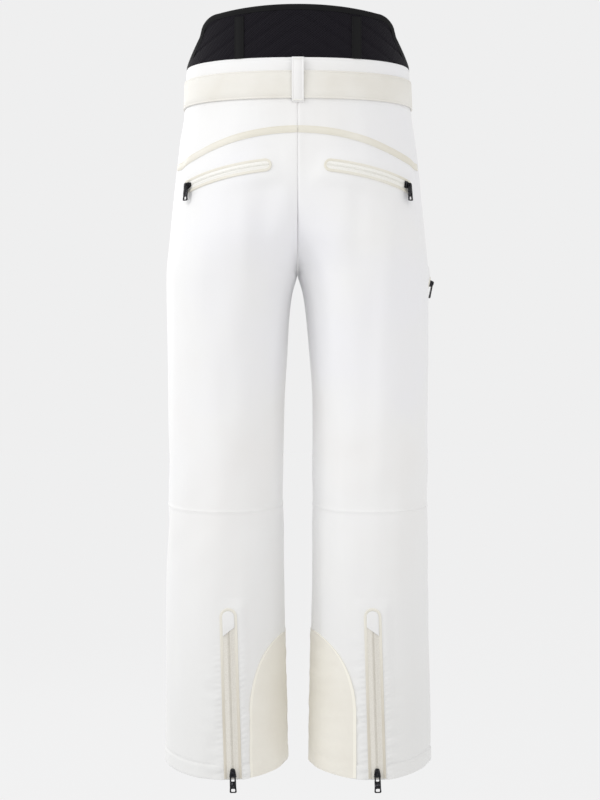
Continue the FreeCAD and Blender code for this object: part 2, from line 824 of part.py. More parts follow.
flyShield = newBody("fly_shield")
shieldOutline = newSketch(flyShield, "XZ_Plane", "fly_shield_outline")
rectangle(
    shieldOutline,
    "Dims.welt_width * 2",
    "Dims.fly_zip_length + 2 * Dims.fly_shield_margin",
    "-Dims.welt_width",
    "-Dims.fly_zip_foot - Dims.fly_shield_margin",
)
pad(flyShield, shieldOutline, "Dims.welt_cloth", "fly_shield_cloth")
flyShield.Placement = Placement(Vector(0, -dim("beltline_front") + wall + dim("fly_shield_gap"), 0), Rotation())

# curved zips: each lies on one circle, so that its slider turns about the circle's axis


def circleThrough(a, b, c):
    """Centre, axis and radius of the circle through three points, with its axis upwards."""
    curve = Part.Arc(a, b, c).toShape().Curve
    axis = curve.Axis
    if axis.z < 0:
        axis = axis * -1
    return curve.Center, Vector(axis).normalize(), curve.Radius


def buildCurvedZip(name, suffix, inner, middle, outer):
    """Welt and chain as revolved bands about the circle's axis, and the slider parked at the outer end."""
    centre, axis, radius = circleThrough(inner, middle, outer)
    half = (inner - centre).getAngle(outer - centre) / 2
    radial = ((inner + outer) * 0.5 - centre).normalize()
    tangent = axis.cross(radial)
    bore = f"{name}{suffix}_radius"
    put(bore, round(radius, 4))
    doc.recompute()
    fullTurn = math.degrees(2 * half)
    windowTurn = math.degrees(2 * half - dim("pocket_end") / radius)

    welt = newBody(f"{name}_welt{suffix}")
    band = newSketch(welt, "XZ_Plane", f"{welt.Label}_band")
    start = f"Dims.{bore} + Dims.play"
    rectangle(band, "Dims.welt_cloth", "Dims.pocket_welt_height", start, "-Dims.pocket_welt_height / 2")
    revolve(welt, band, "Revolution", fullTurn, f"{welt.Label}_cloth")
    window = newSketch(welt, "XZ_Plane", f"{welt.Label}_window")
    rectangle(
        window,
        "Dims.welt_cloth * 3",
        "Dims.pocket_window_height",
        f"Dims.{bore} - Dims.welt_cloth",
        "-Dims.pocket_window_height / 2",
    )
    doc.recompute()
    revolve(welt, window, "Groove", windowTurn, f"{welt.Label}_opening")
    place(welt, centre, radial, tangent)

    chain = newBody(f"{name}_chain{suffix}")
    tape = newSketch(chain, "XZ_Plane", f"{chain.Label}_tape_section")
    rectangle(tape, "Dims.tape_cloth", "2 * Dims.tape_half", f"Dims.{bore} + Dims.play", "-Dims.tape_half")
    revolve(chain, tape, "Revolution", windowTurn - 0.1, f"{chain.Label}_tape")
    teeth = newSketch(chain, "XZ_Plane", f"{chain.Label}_teeth_section")
    rectangle(
        teeth,
        "Dims.teeth_proud + Dims.play",
        "2 * Dims.teeth_half",
        f"Dims.{bore} + Dims.tape_cloth",
        "-Dims.teeth_half",
    )
    doc.recompute()
    revolve(chain, teeth, "Revolution", windowTurn - 0.1, f"{chain.Label}_teeth")
    place(chain, centre, radial, tangent)

    # the slider parks half its length and a little more inside the outer end
    park = half - (dim("slider_length") / 2 + dim("pocket_slider_rest")) / radius
    turn = 1 if (outer - centre).dot(tangent) > 0 else -1
    away = (radial * math.cos(park) + tangent * (turn * math.sin(park))).normalize()
    across = away.cross(axis.cross(away))
    slider = buildSlider(f"{name}_slider{suffix}", False)
    place(slider, centre + away * (radius + sliderLift), across, away)
    pivot = centre + away * (radius + studLift)
    upright = (Vector(0, 0, 1) - away * away.z).normalize()
    pull = buildPull(f"{name}_pull{suffix}", "Dims.pull_short", False)
    place(pull, pivot, away.cross(upright), away)
    jointPoints[slider.Label] = {
        "centre": centre,
        "axis": axis,
        "travel_deg": -turn * math.degrees(2 * park),
        "pivot": pivot,
        "away": away,
        "radius": radius,
    }


def seatPoint(x, z, sign, lift):
    """Point of the seat at an x and a height, moved straight out of the cloth."""
    outer, inner, centre, back, front = sectionAt(z)
    reach = outer - centre if x > centre else centre - inner
    y = back * (1 - abs((x - centre) / reach) ** power) ** (1 / power)
    normal = Vector(0, 1, 0)
    if x > centre:
        sideways = (x - centre) ** (power - 1) / reach**power
        normal = Vector(sideways, y ** (power - 1) / back**power, 0).normalize()
    point = Vector(x, y, z) + normal * lift
    return Vector(sign * point.x, point.y, point.z)


pocketLift = dim("pocket_lift")
innerX, outerX = dim("pocket_inner_x"), dim("pocket_outer_x")
innerLevel, outerLevel = -dim("pocket_inner_level"), -dim("pocket_outer_level")
# a point near the outer end, where the seat turns towards the side, bows the zip round it
bendShare = 0.68
middleX = innerX + bendShare * (outerX - innerX)
pocketMiddle = innerLevel + 0.6 * (outerLevel - innerLevel) + dim("pocket_bow")
for suffix, sign in (("_left", 1), ("_right", -1)):
    buildCurvedZip(
        "back_pocket",
        suffix,
        seatPoint(innerX, innerLevel, sign, pocketLift),
        seatPoint(middleX, pocketMiddle, sign, pocketLift),
        seatPoint(outerX, outerLevel, sign, pocketLift),
    )


def thighPoint(angle, z, lift):
    """Point of the right thigh; the angle runs from the side seam towards the front."""
    point = ovalPoint(z, math.radians(angle), -1, lift)
    return Vector(-point.x, point.y, point.z)


thighLift = dim("thigh_lift")
thighFront, thighBack = -dim("thigh_zip_front"), -dim("thigh_zip_back")
buildCurvedZip(
    "thigh_pocket",
    "",
    thighPoint(78, thighFront, thighLift),
    thighPoint(42, (thighFront + thighBack) / 2, thighLift),
    thighPoint(3, thighBack, thighLift),
)

# cam buckle in front: a frame on the belt and a lever that turns about an upright pin

frameY = -dim("beltline_front") - dim("band_gap") - dim("belt_thickness") - dim("buckle_gap")
beltMiddle = (beltTop + beltFoot) / 2
frame = newBody("belt_buckle_frame")
frameOutline = newSketch(frame, "XZ_Plane", "buckle_frame_outline")
frameCorner = ("-Dims.buckle_width / 2", "-Dims.buckle_height / 2")
rectangle(frameOutline, "Dims.buckle_width", "Dims.buckle_height", *frameCorner)
pad(frame, frameOutline, "Dims.buckle_thickness", "buckle_frame_plate")
frameWindow = newSketch(frame, "XZ_Plane", "buckle_frame_window")
rectangle(
    frameWindow,
    "Dims.buckle_window",
    "Dims.lever_height + 4 * Dims.play",
    "-Dims.buckle_window / 2",
    "-Dims.lever_height / 2 - 2 * Dims.play",
)
pocket(frame, frameWindow, "Dims.buckle_thickness * 3", "buckle_frame_opening", midplane=True)
frame.Placement = Placement(Vector(0, frameY, beltMiddle), Rotation())

pinX = -dim("buckle_window") / 2 + dim("hinge_pin_radius") + dim("pin_inset")
pinY = frameY - dim("buckle_thickness") / 2
pin = newBody("belt_buckle_pin")
pinSection = newSketch(pin, "XY_Plane", "buckle_pin_section")
circle(pinSection, "Dims.hinge_pin_radius")
pad(pin, pinSection, "Dims.lever_height + 4 * Dims.play", "buckle_pin_rod", midplane=True)
pin.Placement = Placement(Vector(pinX, pinY, beltMiddle), Rotation())

lever = newBody("belt_buckle_lever")
leverPlate = newSketch(lever, "XY_Plane", "buckle_lever_section")
rectangle(
    leverPlate,
    "Dims.lever_width",
    "Dims.lever_thickness",
    "-Dims.hinge_pin_radius - 2 * Dims.play",
    "-Dims.lever_thickness / 2",
)
pad(lever, leverPlate, "Dims.lever_height", "buckle_lever_plate", midplane=True)
barrel = newSketch(lever, "XY_Plane", "buckle_lever_barrel")
circle(barrel, "Dims.hinge_pin_radius + Dims.barrel_wall")
pad(lever, barrel, "Dims.lever_height", "buckle_lever_round", midplane=True)
leverBore = newSketch(lever, "XY_Plane", "buckle_lever_bore")
circle(leverBore, "Dims.hinge_pin_radius + Dims.bore_play")
pocket(lever, leverBore, "Dims.lever_height * 2", "buckle_lever_hole", midplane=True)
lever.Placement = Placement(Vector(pinX, pinY, beltMiddle), Rotation())
jointPoints["buckle"] = {"pivot": Vector(pinX, pinY, beltMiddle)}

# snaps at the front of the waistband, above the belt
snapShapes = []
snapLevel = -dim("snap_drop")
for sideName, sign in (("left", 1), ("right", -1)):
    cap = doc.addObject("Part::Cylinder", f"snap_cap_{sideName}")
    cap.setExpression("Radius", "Dims.snap_radius")
    cap.setExpression("Height", "Dims.snap_height")
    x = sign * dim("snap_x")
    y = ovalWaist(x, snapLevel, -1).y - dim("play")
    cap.Placement = Placement(Vector(x, y, snapLevel), Rotation(Vector(1, 0, 0), 90))
    snapShapes.append(cap)
snaps = doc.addObject("Part::Compound", "waist_snaps")
snaps.Label = "waist_snaps"
snaps.Links = snapShapes
parts.append(snaps)

doc.recompute()
broken = [thing.Name for thing in doc.Objects if "Invalid" in thing.State or "Error" in thing.State]
if broken:
    raise RuntimeError(f"objects failed: {broken}")
faulty = [part.Label for part in parts if part.Shape.isNull() or not part.Shape.isValid()]
if faulty:
    raise RuntimeError(f"shapes not valid: {faulty}")

os.makedirs("parts", exist_ok=True)
for part in parts:
    part.Shape.exportStep(f"parts/{part.Label}.step")
print(len(parts), "pieces written")

for jointName, values in jointPoints.items():
    for key, value in values.items():
        shown = tuple(round(c, 4) for c in value) if isinstance(value, Vector) else round(value, 4)
        print(jointName, key, shown)
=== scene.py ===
import bpy
import bmesh
import json
import math
from mathutils import Matrix, Vector, noise
from mathutils.bvhtree import BVHTree

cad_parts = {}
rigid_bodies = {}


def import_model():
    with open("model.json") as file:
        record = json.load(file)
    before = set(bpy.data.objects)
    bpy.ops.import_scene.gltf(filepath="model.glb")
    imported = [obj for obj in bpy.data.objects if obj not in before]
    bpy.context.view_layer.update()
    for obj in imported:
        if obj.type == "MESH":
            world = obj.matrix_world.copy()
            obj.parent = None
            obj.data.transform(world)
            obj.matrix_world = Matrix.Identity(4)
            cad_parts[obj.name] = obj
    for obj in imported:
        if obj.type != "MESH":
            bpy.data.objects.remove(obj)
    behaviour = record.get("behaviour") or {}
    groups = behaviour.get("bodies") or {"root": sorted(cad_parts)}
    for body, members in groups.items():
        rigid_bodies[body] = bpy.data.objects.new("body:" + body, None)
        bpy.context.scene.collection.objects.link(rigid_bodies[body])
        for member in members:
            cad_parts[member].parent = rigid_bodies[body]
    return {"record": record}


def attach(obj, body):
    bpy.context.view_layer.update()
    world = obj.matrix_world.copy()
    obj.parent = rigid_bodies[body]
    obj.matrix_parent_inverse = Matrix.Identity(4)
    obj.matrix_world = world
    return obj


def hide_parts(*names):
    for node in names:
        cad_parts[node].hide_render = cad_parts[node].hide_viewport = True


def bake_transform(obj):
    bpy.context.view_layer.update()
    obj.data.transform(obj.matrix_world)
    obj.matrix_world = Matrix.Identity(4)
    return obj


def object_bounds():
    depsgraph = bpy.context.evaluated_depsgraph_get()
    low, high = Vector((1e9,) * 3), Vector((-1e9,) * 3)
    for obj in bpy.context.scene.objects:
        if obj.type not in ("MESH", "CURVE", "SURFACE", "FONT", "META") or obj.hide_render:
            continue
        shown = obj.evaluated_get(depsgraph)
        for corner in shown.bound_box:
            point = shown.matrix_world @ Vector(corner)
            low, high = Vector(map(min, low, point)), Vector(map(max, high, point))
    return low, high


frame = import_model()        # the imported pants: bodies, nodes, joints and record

cadLow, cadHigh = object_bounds()
mm = 0.001
sides = {"left": 1, "right": -1}
joints = {joint["name"]: joint for joint in frame["record"]["behaviour"]["joints"]}

# camera, light and floor

studio = {
    "cameraAway": 2.9,
    "cameraLevel": -0.477,
    "cameraAside": -0.003,
    "lens": 90,
    "floorDrop": 0.32,
    "background": 0.863,
    "keyPower": 36,
    "fillPower": 4,
}


def clearSelection():
    if bpy.context.object and bpy.context.object.mode != "OBJECT":
        bpy.ops.object.mode_set(mode="OBJECT")
    bpy.ops.object.select_all(action="DESELECT")


def selectOnly(piece):
    clearSelection()
    piece.select_set(True)
    bpy.context.view_layer.objects.active = piece


def hexColor(code):
    channels = [int(code[i:i + 2], 16) / 255 for i in (1, 3, 5)]
    return [c / 12.92 if c <= 0.04045 else ((c + 0.055) / 1.055) ** 2.4 for c in channels] + [1.0]


def addNode(tree, kind, settings=None, links=None):
    node = tree.nodes.new(kind)
    for key, value in (settings or {}).items():
        if isinstance(key, int) or key in node.inputs:
            node.inputs[key].default_value = value
        else:
            setattr(node, key, value)
    for key, source in (links or {}).items():
        tree.links.new(source, node.inputs[key])
    return node


def makeStudio():
    scene = bpy.context.scene
    scene.view_settings.view_transform = "Standard"
    world = bpy.data.worlds.new("studio")
    scene.world = world
    world.use_nodes = True
    tone = studio["background"]
    world.node_tree.nodes["Background"].inputs["Color"].default_value = (tone, tone, tone * 1.002, 1)
    clearSelection()
    bpy.ops.object.camera_add(
        location=(studio["cameraAside"], studio["cameraAway"], studio["cameraLevel"]),
        rotation=(math.radians(90), 0, math.radians(180)),
    )
    camera = bpy.context.object
    camera.data.lens = studio["lens"]
    camera.data.sensor_width = 36
    scene.camera = camera
    # key from the viewer's upper left, weak fill from the right
    for name, spot, size, power in (
        ("keyLight", (2.7, 1.5, 1.7), 1.6, studio["keyPower"]),
        ("fillLight", (-1.6, 2.6, -0.2), 1.8, studio["fillPower"]),
        ("frontLight", (1.9, -2.3, 0.8), 1.8, studio["keyPower"] * 0.6),
    ):
        bpy.ops.object.light_add(type="AREA", location=spot)
        lamp = bpy.context.object
        lamp.name = name
        lamp.data.size = size
        lamp.data.energy = power
        if name == "fillLight":
            lamp.data.color = (1.0, 0.9, 0.78)
        lamp.rotation_euler = (Vector((0, 0, -0.45)) - Vector(spot)).to_track_quat("-Z", "Y").to_euler()
    bpy.ops.mesh.primitive_plane_add(size=60, location=(0, 0, cadLow.z - studio["floorDrop"]))
    floor = bpy.context.object
    floor.name = "floor"
    paper = bpy.data.materials.new("paper_floor")
    paper.use_nodes = True
    tree = paper.node_tree
    tree.nodes.clear()
    glow = addNode(tree, "ShaderNodeEmission", {"Color": (tone, tone, tone * 1.002, 1), "Strength": 0.93})
    matte = addNode(tree, "ShaderNodeBsdfDiffuse", {"Color": (0.07, 0.07, 0.07, 1)})
    both = addNode(tree, "ShaderNodeAddShader", None, {0: glow.outputs[0], 1: matte.outputs[0]})
    addNode(tree, "ShaderNodeOutputMaterial", None, {"Surface": both.outputs[0]})
    floor.data.materials.append(paper)


makeStudio()
print("studio ready")

# materials


def newMaterial(name, base, roughness, **sockets):
    material = bpy.data.materials.new(name)
    material.use_nodes = True
    shader = material.node_tree.nodes["Principled BSDF"]
    shader.inputs["Base Color"].default_value = base
    shader.inputs["Roughness"].default_value = roughness
    for key, value in sockets.items():
        shader.inputs[key].default_value = value
    return material, material.node_tree, shader


def clothUv(tree, stretch=(1, 1, 1), turn=0.0):
    # the cloth pieces carry a map in metres along and across the cloth
    source = addNode(tree, "ShaderNodeUVMap", {"uv_map": "clothMap"})
    return addNode(
        tree,
        "ShaderNodeMapping",
        {"Scale": stretch, "Rotation": (0, 0, turn)},
        {"Vector": source.outputs[0]},
    )


def colorRamp(tree, factor, stops):
    ramp = addNode(tree, "ShaderNodeValToRGB", None, {"Fac": factor})
    elements = ramp.color_ramp.elements
    elements[0].position, elements[0].color = stops[0]
    elements[1].position, elements[1].color = stops[-1]
    for position, color in stops[1:-1]:
        element = elements.new(position)
        element.color = color
    return ramp


def weaveHeight(tree, vector, threads):
    # two crossed wave patterns, multiplied: the over and under of a plain weave
    warp = addNode(
        tree, "ShaderNodeTexWave", {
            "Scale": threads, "bands_direction": "X", "Distortion": 0.6, "Detail": 1.0
        }, {"Vector": vector}
    )
    weft = addNode(
        tree, "ShaderNodeTexWave", {
            "Scale": threads, "bands_direction": "Y", "Distortion": 0.6, "Detail": 1.0
        }, {"Vector": vector}
    )
    return addNode(
        tree, "ShaderNodeMath", {"operation": "ADD"}, {0: warp.outputs["Fac"], 1: weft.outputs["Fac"]}
    )


def shellMaterial():
    # stretch polyester twill, calendered: matt white with a faint cool cast and a very fine diagonal rib
    material, tree, shader = newMaterial(
        "twill_shell_white", hexColor("#FBFBFC"), 0.62, **{
            "Sheen Weight": 0.25, "Sheen Roughness": 0.4, "IOR": 1.47
        }
    )
    # ribs 0.5 mm apart are drawn 1.1 mm apart, so that they still show
    vector = clothUv(tree, turn=math.radians(63)).outputs[0]
    ribs = addNode(
        tree, "ShaderNodeTexWave", {
            "Scale": 280.0, "Distortion": 1.2, "Detail": 2.0, "Detail Scale": 2.0
        }, {"Vector": vector}
    )
    slubs = addNode(tree, "ShaderNodeTexNoise", {"Scale": 900.0, "Detail": 2.0}, {"Vector": vector})
    surface = addNode(
        tree,
        "ShaderNodeMath",
        {"operation": "MULTIPLY_ADD", 1: 0.35},
        {0: slubs.outputs["Fac"], 2: ribs.outputs["Fac"]},
    )
    bump = addNode(
        tree, "ShaderNodeBump", {"Strength": 0.16, "Distance": 0.0003}, {"Height": surface.outputs[0]}
    )
    tree.links.new(bump.outputs[0], shader.inputs["Normal"])
    place = addNode(tree, "ShaderNodeTexCoord")
    clouds = addNode(
        tree, "ShaderNodeTexNoise", {"Scale": 5.0, "Detail": 3.0}, {"Vector": place.outputs["Object"]}
    )
    tint = colorRamp(
        tree, clouds.outputs["Fac"], [
            (0.3, hexColor("#EEEDEC")), (0.5, hexColor("#F0F0F0")), (0.72, hexColor("#EFEFF2"))
        ]
    )
    # a shade greyer towards the hem: a tone match that stands in for light falling off, not a second cloth
    parts = addNode(tree, "ShaderNodeSeparateXYZ", None, {0: place.outputs["Object"]})
    height = addNode(
        tree, "ShaderNodeMapRange", {"From Min": -0.56, "From Max": -0.94}, {"Value": parts.outputs["Z"]}
    )
    grey = hexColor("#E6E6E5")
    both = addNode(
        tree, "ShaderNodeMix", {"data_type": "RGBA", 7: grey}, {0: height.outputs[0], 6: tint.outputs[0]}
    )
    tree.links.new(both.outputs[2], shader.inputs["Base Color"])
    return material


def creamMaterial(name, base, deep, threads, roughness, strength, pale=None):
    material, tree, shader = newMaterial(
        name, hexColor(base), roughness, **{"Sheen Weight": 0.15, "IOR": 1.5}
    )
    vector = clothUv(tree).outputs[0]
    surface = weaveHeight(tree, vector, threads)
    bump = addNode(
        tree, "ShaderNodeBump", {"Strength": strength, "Distance": 0.0004}, {"Height": surface.outputs[0]}
    )
    tree.links.new(bump.outputs[0], shader.inputs["Normal"])
    place = addNode(tree, "ShaderNodeTexCoord")
    clouds = addNode(
        tree, "ShaderNodeTexNoise", {"Scale": 16.0, "Detail": 4.0}, {"Vector": place.outputs["Object"]}
    )
    tint = colorRamp(
        tree, clouds.outputs["Fac"], [(0.32, hexColor(deep)), (0.68, hexColor(base))]
    ).outputs[0]
    if pale:
        # darker towards the foot of the strip and paler towards its top: painted shade of the light falling
        # off towards the hem, as on the shell
        parts = addNode(tree, "ShaderNodeSeparateXYZ", None, {0: place.outputs["Object"]})
        height = addNode(
            tree,
            "ShaderNodeMapRange",
            {"From Min": -0.93, "From Max": -0.79},
            {"Value": parts.outputs["Z"]},
        )
        both = addNode(
            tree, "ShaderNodeMix", {"data_type": "RGBA", 7: hexColor(pale)}, {0: height.outputs[0], 6: tint}
        )
        tint = both.outputs[2]
    tree.links.new(tint, shader.inputs["Base Color"])
    return material


def meshMaterial():
    # knitted spacer mesh, dyed black: round knit holes on diagonal ribs over the backing, with painted
    # shade in the holes
    material, tree, shader = newMaterial(
        "spacer_mesh_black", hexColor("#100E14"), 0.85, **{"Sheen Weight": 0.06, "Specular IOR Level": 0.15}
    )
    vector = clothUv(tree, turn=math.radians(45)).outputs[0]
    # holes 1.6 mm apart are drawn 2.4 mm apart, so that they show as holes
    holes = addNode(tree, "ShaderNodeTexVoronoi", {"Scale": 420.0, "Randomness": 0.0}, {"Vector": vector})
    ribs = addNode(tree, "ShaderNodeTexWave", {"Scale": 68.0, "Distortion": 0.4}, {"Vector": vector})
    rounded = addNode(
        tree,
        "ShaderNodeMapRange",
        {"From Min": 0.18, "From Max": 0.42},
        {"Value": holes.outputs["Distance"]},
    )
    relief = addNode(
        tree,
        "ShaderNodeMath",
        {"operation": "MULTIPLY_ADD", 1: 0.5},
        {0: ribs.outputs["Fac"], 2: rounded.outputs[0]},
    )
    bump = addNode(
        tree, "ShaderNodeBump", {"Strength": 0.7, "Distance": 0.0008}, {"Height": relief.outputs[0]}
    )
    tree.links.new(bump.outputs[0], shader.inputs["Normal"])
    # the holes are coloured darker than the ribs: painted shade on the backing seen through them
    tint = colorRamp(tree, rounded.outputs[0], [(0.0, hexColor("#050407")), (1.0, hexColor("#17141C"))])
    tree.links.new(tint.outputs[0], shader.inputs["Base Color"])
    return material


def bindingMaterial():
    # elastane jersey binding: smooth, soft black with a faint lengthwise rib
    material, tree, shader = newMaterial(
        "jersey_binding_black",
        hexColor("#0D0D0F"),
        0.7,
        **{"Sheen Weight": 0.05, "Specular IOR Level": 0.18},
    )
    vector = clothUv(tree).outputs[0]
    ribs = addNode(
        tree,
        "ShaderNodeTexWave",
        {"Scale": 320.0, "bands_direction": "Y", "Distortion": 0.8},
        {"Vector": vector},
    )
    bump = addNode(
        tree, "ShaderNodeBump", {"Strength": 0.25, "Distance": 0.0003}, {"Height": ribs.outputs["Fac"]}
    )
    tree.links.new(bump.outputs[0], shader.inputs["Normal"])
    return material


def metalMaterial():
    # die-cast zinc, gunmetal plated and tumbled: dark, brighter where edges and faces have rubbed
    material, tree, shader = newMaterial("gunmetal_plated_zinc", hexColor("#4A4A4D"), 0.3, Metallic=1.0)
    place = addNode(tree, "ShaderNodeTexCoord")
    wear = addNode(
        tree, "ShaderNodeTexNoise", {"Scale": 380.0, "Detail": 4.0}, {"Vector": place.outputs["Object"]}
    )
    tint = colorRamp(
        tree,
        wear.outputs["Fac"],
        [(0.35, hexColor("#1F1F21")), (0.62, hexColor("#38383B")), (0.75, hexColor("#77777D"))],
    )
    tree.links.new(tint.outputs[0], shader.inputs["Base Color"])
    rough = addNode(
        tree, "ShaderNodeMapRange", {"To Min": 0.22, "To Max": 0.45}, {"Value": wear.outputs["Fac"]}
    )
    tree.links.new(rough.outputs[0], shader.inputs["Roughness"])
    bump = addNode(
        tree, "ShaderNodeBump", {"Strength": 0.12, "Distance": 0.0001}, {"Height": wear.outputs["Fac"]}
    )
    tree.links.new(bump.outputs[0], shader.inputs["Normal"])
    return material


def coilMaterial(name, dark, light):
    # nylon coil and woven zip tape, left off-white: a low waxy gloss
    material, tree, shader = newMaterial(name, hexColor(light), 0.42, **{"Coat Weight": 0.1})
    place = addNode(tree, "ShaderNodeTexCoord")
    grain = addNode(
        tree, "ShaderNodeTexNoise", {"Scale": 700.0, "Detail": 3.0}, {"Vector": place.outputs["Object"]}
    )
    tint = colorRamp(tree, grain.outputs["Fac"], [(0.3, hexColor(dark)), (0.7, hexColor(light))])
    tree.links.new(tint.outputs[0], shader.inputs["Base Color"])
    bump = addNode(
        tree, "ShaderNodeBump", {"Strength": 0.2, "Distance": 0.0002}, {"Height": grain.outputs["Fac"]}
    )
    tree.links.new(bump.outputs[0], shader.inputs["Normal"])
    return material


materials = {
    "shell": shellMaterial(),
    "trim": creamMaterial("bonded_film_cream", "#EAE7DD", "#E4E0D3", 330.0, 0.5, 0.12),
    # the ankle film is the cream film drawn darker towards the hem: painted shade
    "ankleTrim": creamMaterial("bonded_film_beige", "#D8D2C5", "#CFC9BB", 330.0, 0.5, 0.12, pale="#E8E5DB"),
    "guard": creamMaterial("tough_plain_weave_cream", "#EBE8DF", "#E6E2D8", 210.0, 0.66, 0.25),
    "guardEdge": creamMaterial("sealed_weave_edge_cream", "#F3F0E6", "#EFECE1", 210.0, 0.6, 0.15),
    "webbing": creamMaterial("polyester_webbing_cream", "#EFEDE7", "#E9E6DE", 260.0, 0.6, 0.35),
    "lining": creamMaterial("taffeta_lining_grey", "#E4E4E6", "#DADADD", 300.0, 0.45, 0.2),
    "mesh": meshMaterial(),
    "binding": bindingMaterial(),
    "metal": metalMaterial(),
    "coil": coilMaterial("nylon_coil_white", "#EEEDE7", "#F6F5F1"),
    "ankleCoil": coilMaterial("nylon_coil_cream", "#D8D4CB", "#E3E0D8"),
}
print("materials ready")

# the cut of the pants

# Down one side: height, outer x, inner x, centre x, half depth behind, half depth in front (mm).
# An inner x below zero is where the two sides still meet at the rise seam.
cutStations = [
    (76, 158, -158, 0, 119, 111),
    (0, 161, -161, 0, 120, 113),
    (-62, 163.5, -163.5, 0, 124, 115),
    (-120, 170, -150, 12, 129, 117),
    (-190, 178, -110, 40, 133, 116),
    (-240, 183, -50, 70, 133, 114),
    (-270, 186, -16, 86, 130, 112),
    (-290, 188, -3, 93, 127, 110),
    (-298, 188.2, 0, 95, 126, 109.5),
    (-330, 188.5, 8, 98, 121, 107),
    (-400, 188.5, 14.5, 101.5, 112, 103),
    (-480, 187.5, 20, 103.5, 103, 98),
    (-626, 186, 22, 104, 94, 92),
    (-770, 188, 20, 104, 94, 92),
    (-996, 190.6, 16, 103.3, 94, 94),
]
ovalPower = 2.2


def stationSlope(i, column):
    if i in (0, len(cutStations) - 1):
        return 0.0
    before, here, after = cutStations[i - 1], cutStations[i], cutStations[i + 1]
    rise = (here[column] - before[column]) / (here[0] - before[0])
    fall = (after[column] - here[column]) / (after[0] - here[0])
    return 0.0 if rise * fall <= 0 else 2 * rise * fall / (rise + fall)


def sectionAt(z):
    # outer x, inner x, centre x, depth behind and in front at a height, all in mm
    z = max(min(z, cutStations[0][0]), cutStations[-1][0])
    i = 0
    while z < cutStations[i + 1][0]:
        i += 1
    low, high = cutStations[i], cutStations[i + 1]
    span = high[0] - low[0]
    t = (z - low[0]) / span
    values = []
    for column in range(1, 6):
        a = stationSlope(i, column) * span
        b = stationSlope(i + 1, column) * span
        values.append(
            (2 * t**3 - 3 * t**2 + 1) * low[column] + (t**3 - 2 * t**2 + t) * a
            + (3 * t**2 - 2 * t**3) * high[column] + (t**3 - t**2) * b
        )
    return values


def seamAngle(z):
    outer, inner, centre, back, front = sectionAt(z)
    reach = centre - inner
    if reach <= centre:
        return math.pi
    return math.pi - math.acos((centre / reach) ** (ovalPower / 2))


def cutPoint(sign, u, z):
    # u runs from the middle seam behind (0) round the side seam (0.5) to the middle seam in front (1)
    outer, inner, centre, back, front = sectionAt(z)
    start = seamAngle(z)
    behind = u <= 0.5
    angle = start * (1 - 2 * u) if behind else start * (2 * u - 1)
    cosine, sine = math.cos(angle), math.sin(angle)
    reach = outer - centre if cosine > 0 else centre - inner
    depth = back if behind else -front
    x = centre + math.copysign(reach * abs(cosine) ** (2 / ovalPower), cosine)
    y = depth * abs(sine) ** (2 / ovalPower)
    return Vector((sign * max(x, 0.0), y, z)) * mm


def uAtX(x, z):
    # where the back of the cloth passes an x, in mm from the middle
    outer, inner, centre, back, front = sectionAt(z)
    reach = outer - centre if x > centre else centre - inner
    share = min(1.0, abs(x - centre) / reach) ** (ovalPower / 2)
    angle = math.acos(math.copysign(share, x - centre))
    return max(0.0, 0.5 * (1 - angle / seamAngle(z)))


seams = {
    "waist": -60,
    "yokeMiddle": -101,
    "yokeSide": -144,
    "yokeReach": 165,
    "knee": -626,
    "kneeDip": 9,
    "hem": -996,
    "hemTilt": 14,
}


def yokeLevel(u):
    # the yoke seam drops from the centre back to the side seam, and stays level in front
    return yokeAtX(abs(cutPoint(1, u, -125).x) / mm)


def yokeAtX(x):
    drop = seams["yokeMiddle"] - seams["yokeSide"]
    radius = (seams["yokeReach"] ** 2 + drop**2) / (2 * drop)
    x = min(x, seams["yokeReach"])
    return seams["yokeMiddle"] - radius + math.sqrt(radius**2 - x**2)


def kneeLevel(u):
    return seams["knee"] - seams["kneeDip"] * math.sin(2 * math.pi * u)


def hemDrop(u):
    lean = math.sin(2 * math.pi * u)
    return seams["hemTilt"] * lean * abs(lean)


def hemLevel(u):
    return seams["hem"] - hemDrop(u)


def spacedSteps(length, step=5.5):
    # distances along a panel in mm, closer together beside its two seams
    near = [0, 0.8, 1.8, 3.2, 5.5]
    middle = length - 2 * near[-1]
    count = max(2, round(middle / step))
    steps = near + [near[-1] + middle * k / count for k in range(1, count)]
    return steps + [length - d for d in reversed(near)]


relief = {
    "drape": 2.8,
    "crease": 1.8,
    "hip": 2.4,
    "seat": 2.4,
    "zipPucker": 0.85,
    "zipPull": 2.4,
    "waistPucker": 1.2,
    "hemWave": 1.0,
    "seamDip": 0.6,
    "seamReach": 2.2,
    "seamSwell": 0.28,
    "kneeRidge": 0.9,
}


def softNoise(x, y, z):
    return noise.noise(Vector((x, y, z)))


def bell(value, width):
    return math.exp(-((value / width) ** 2))


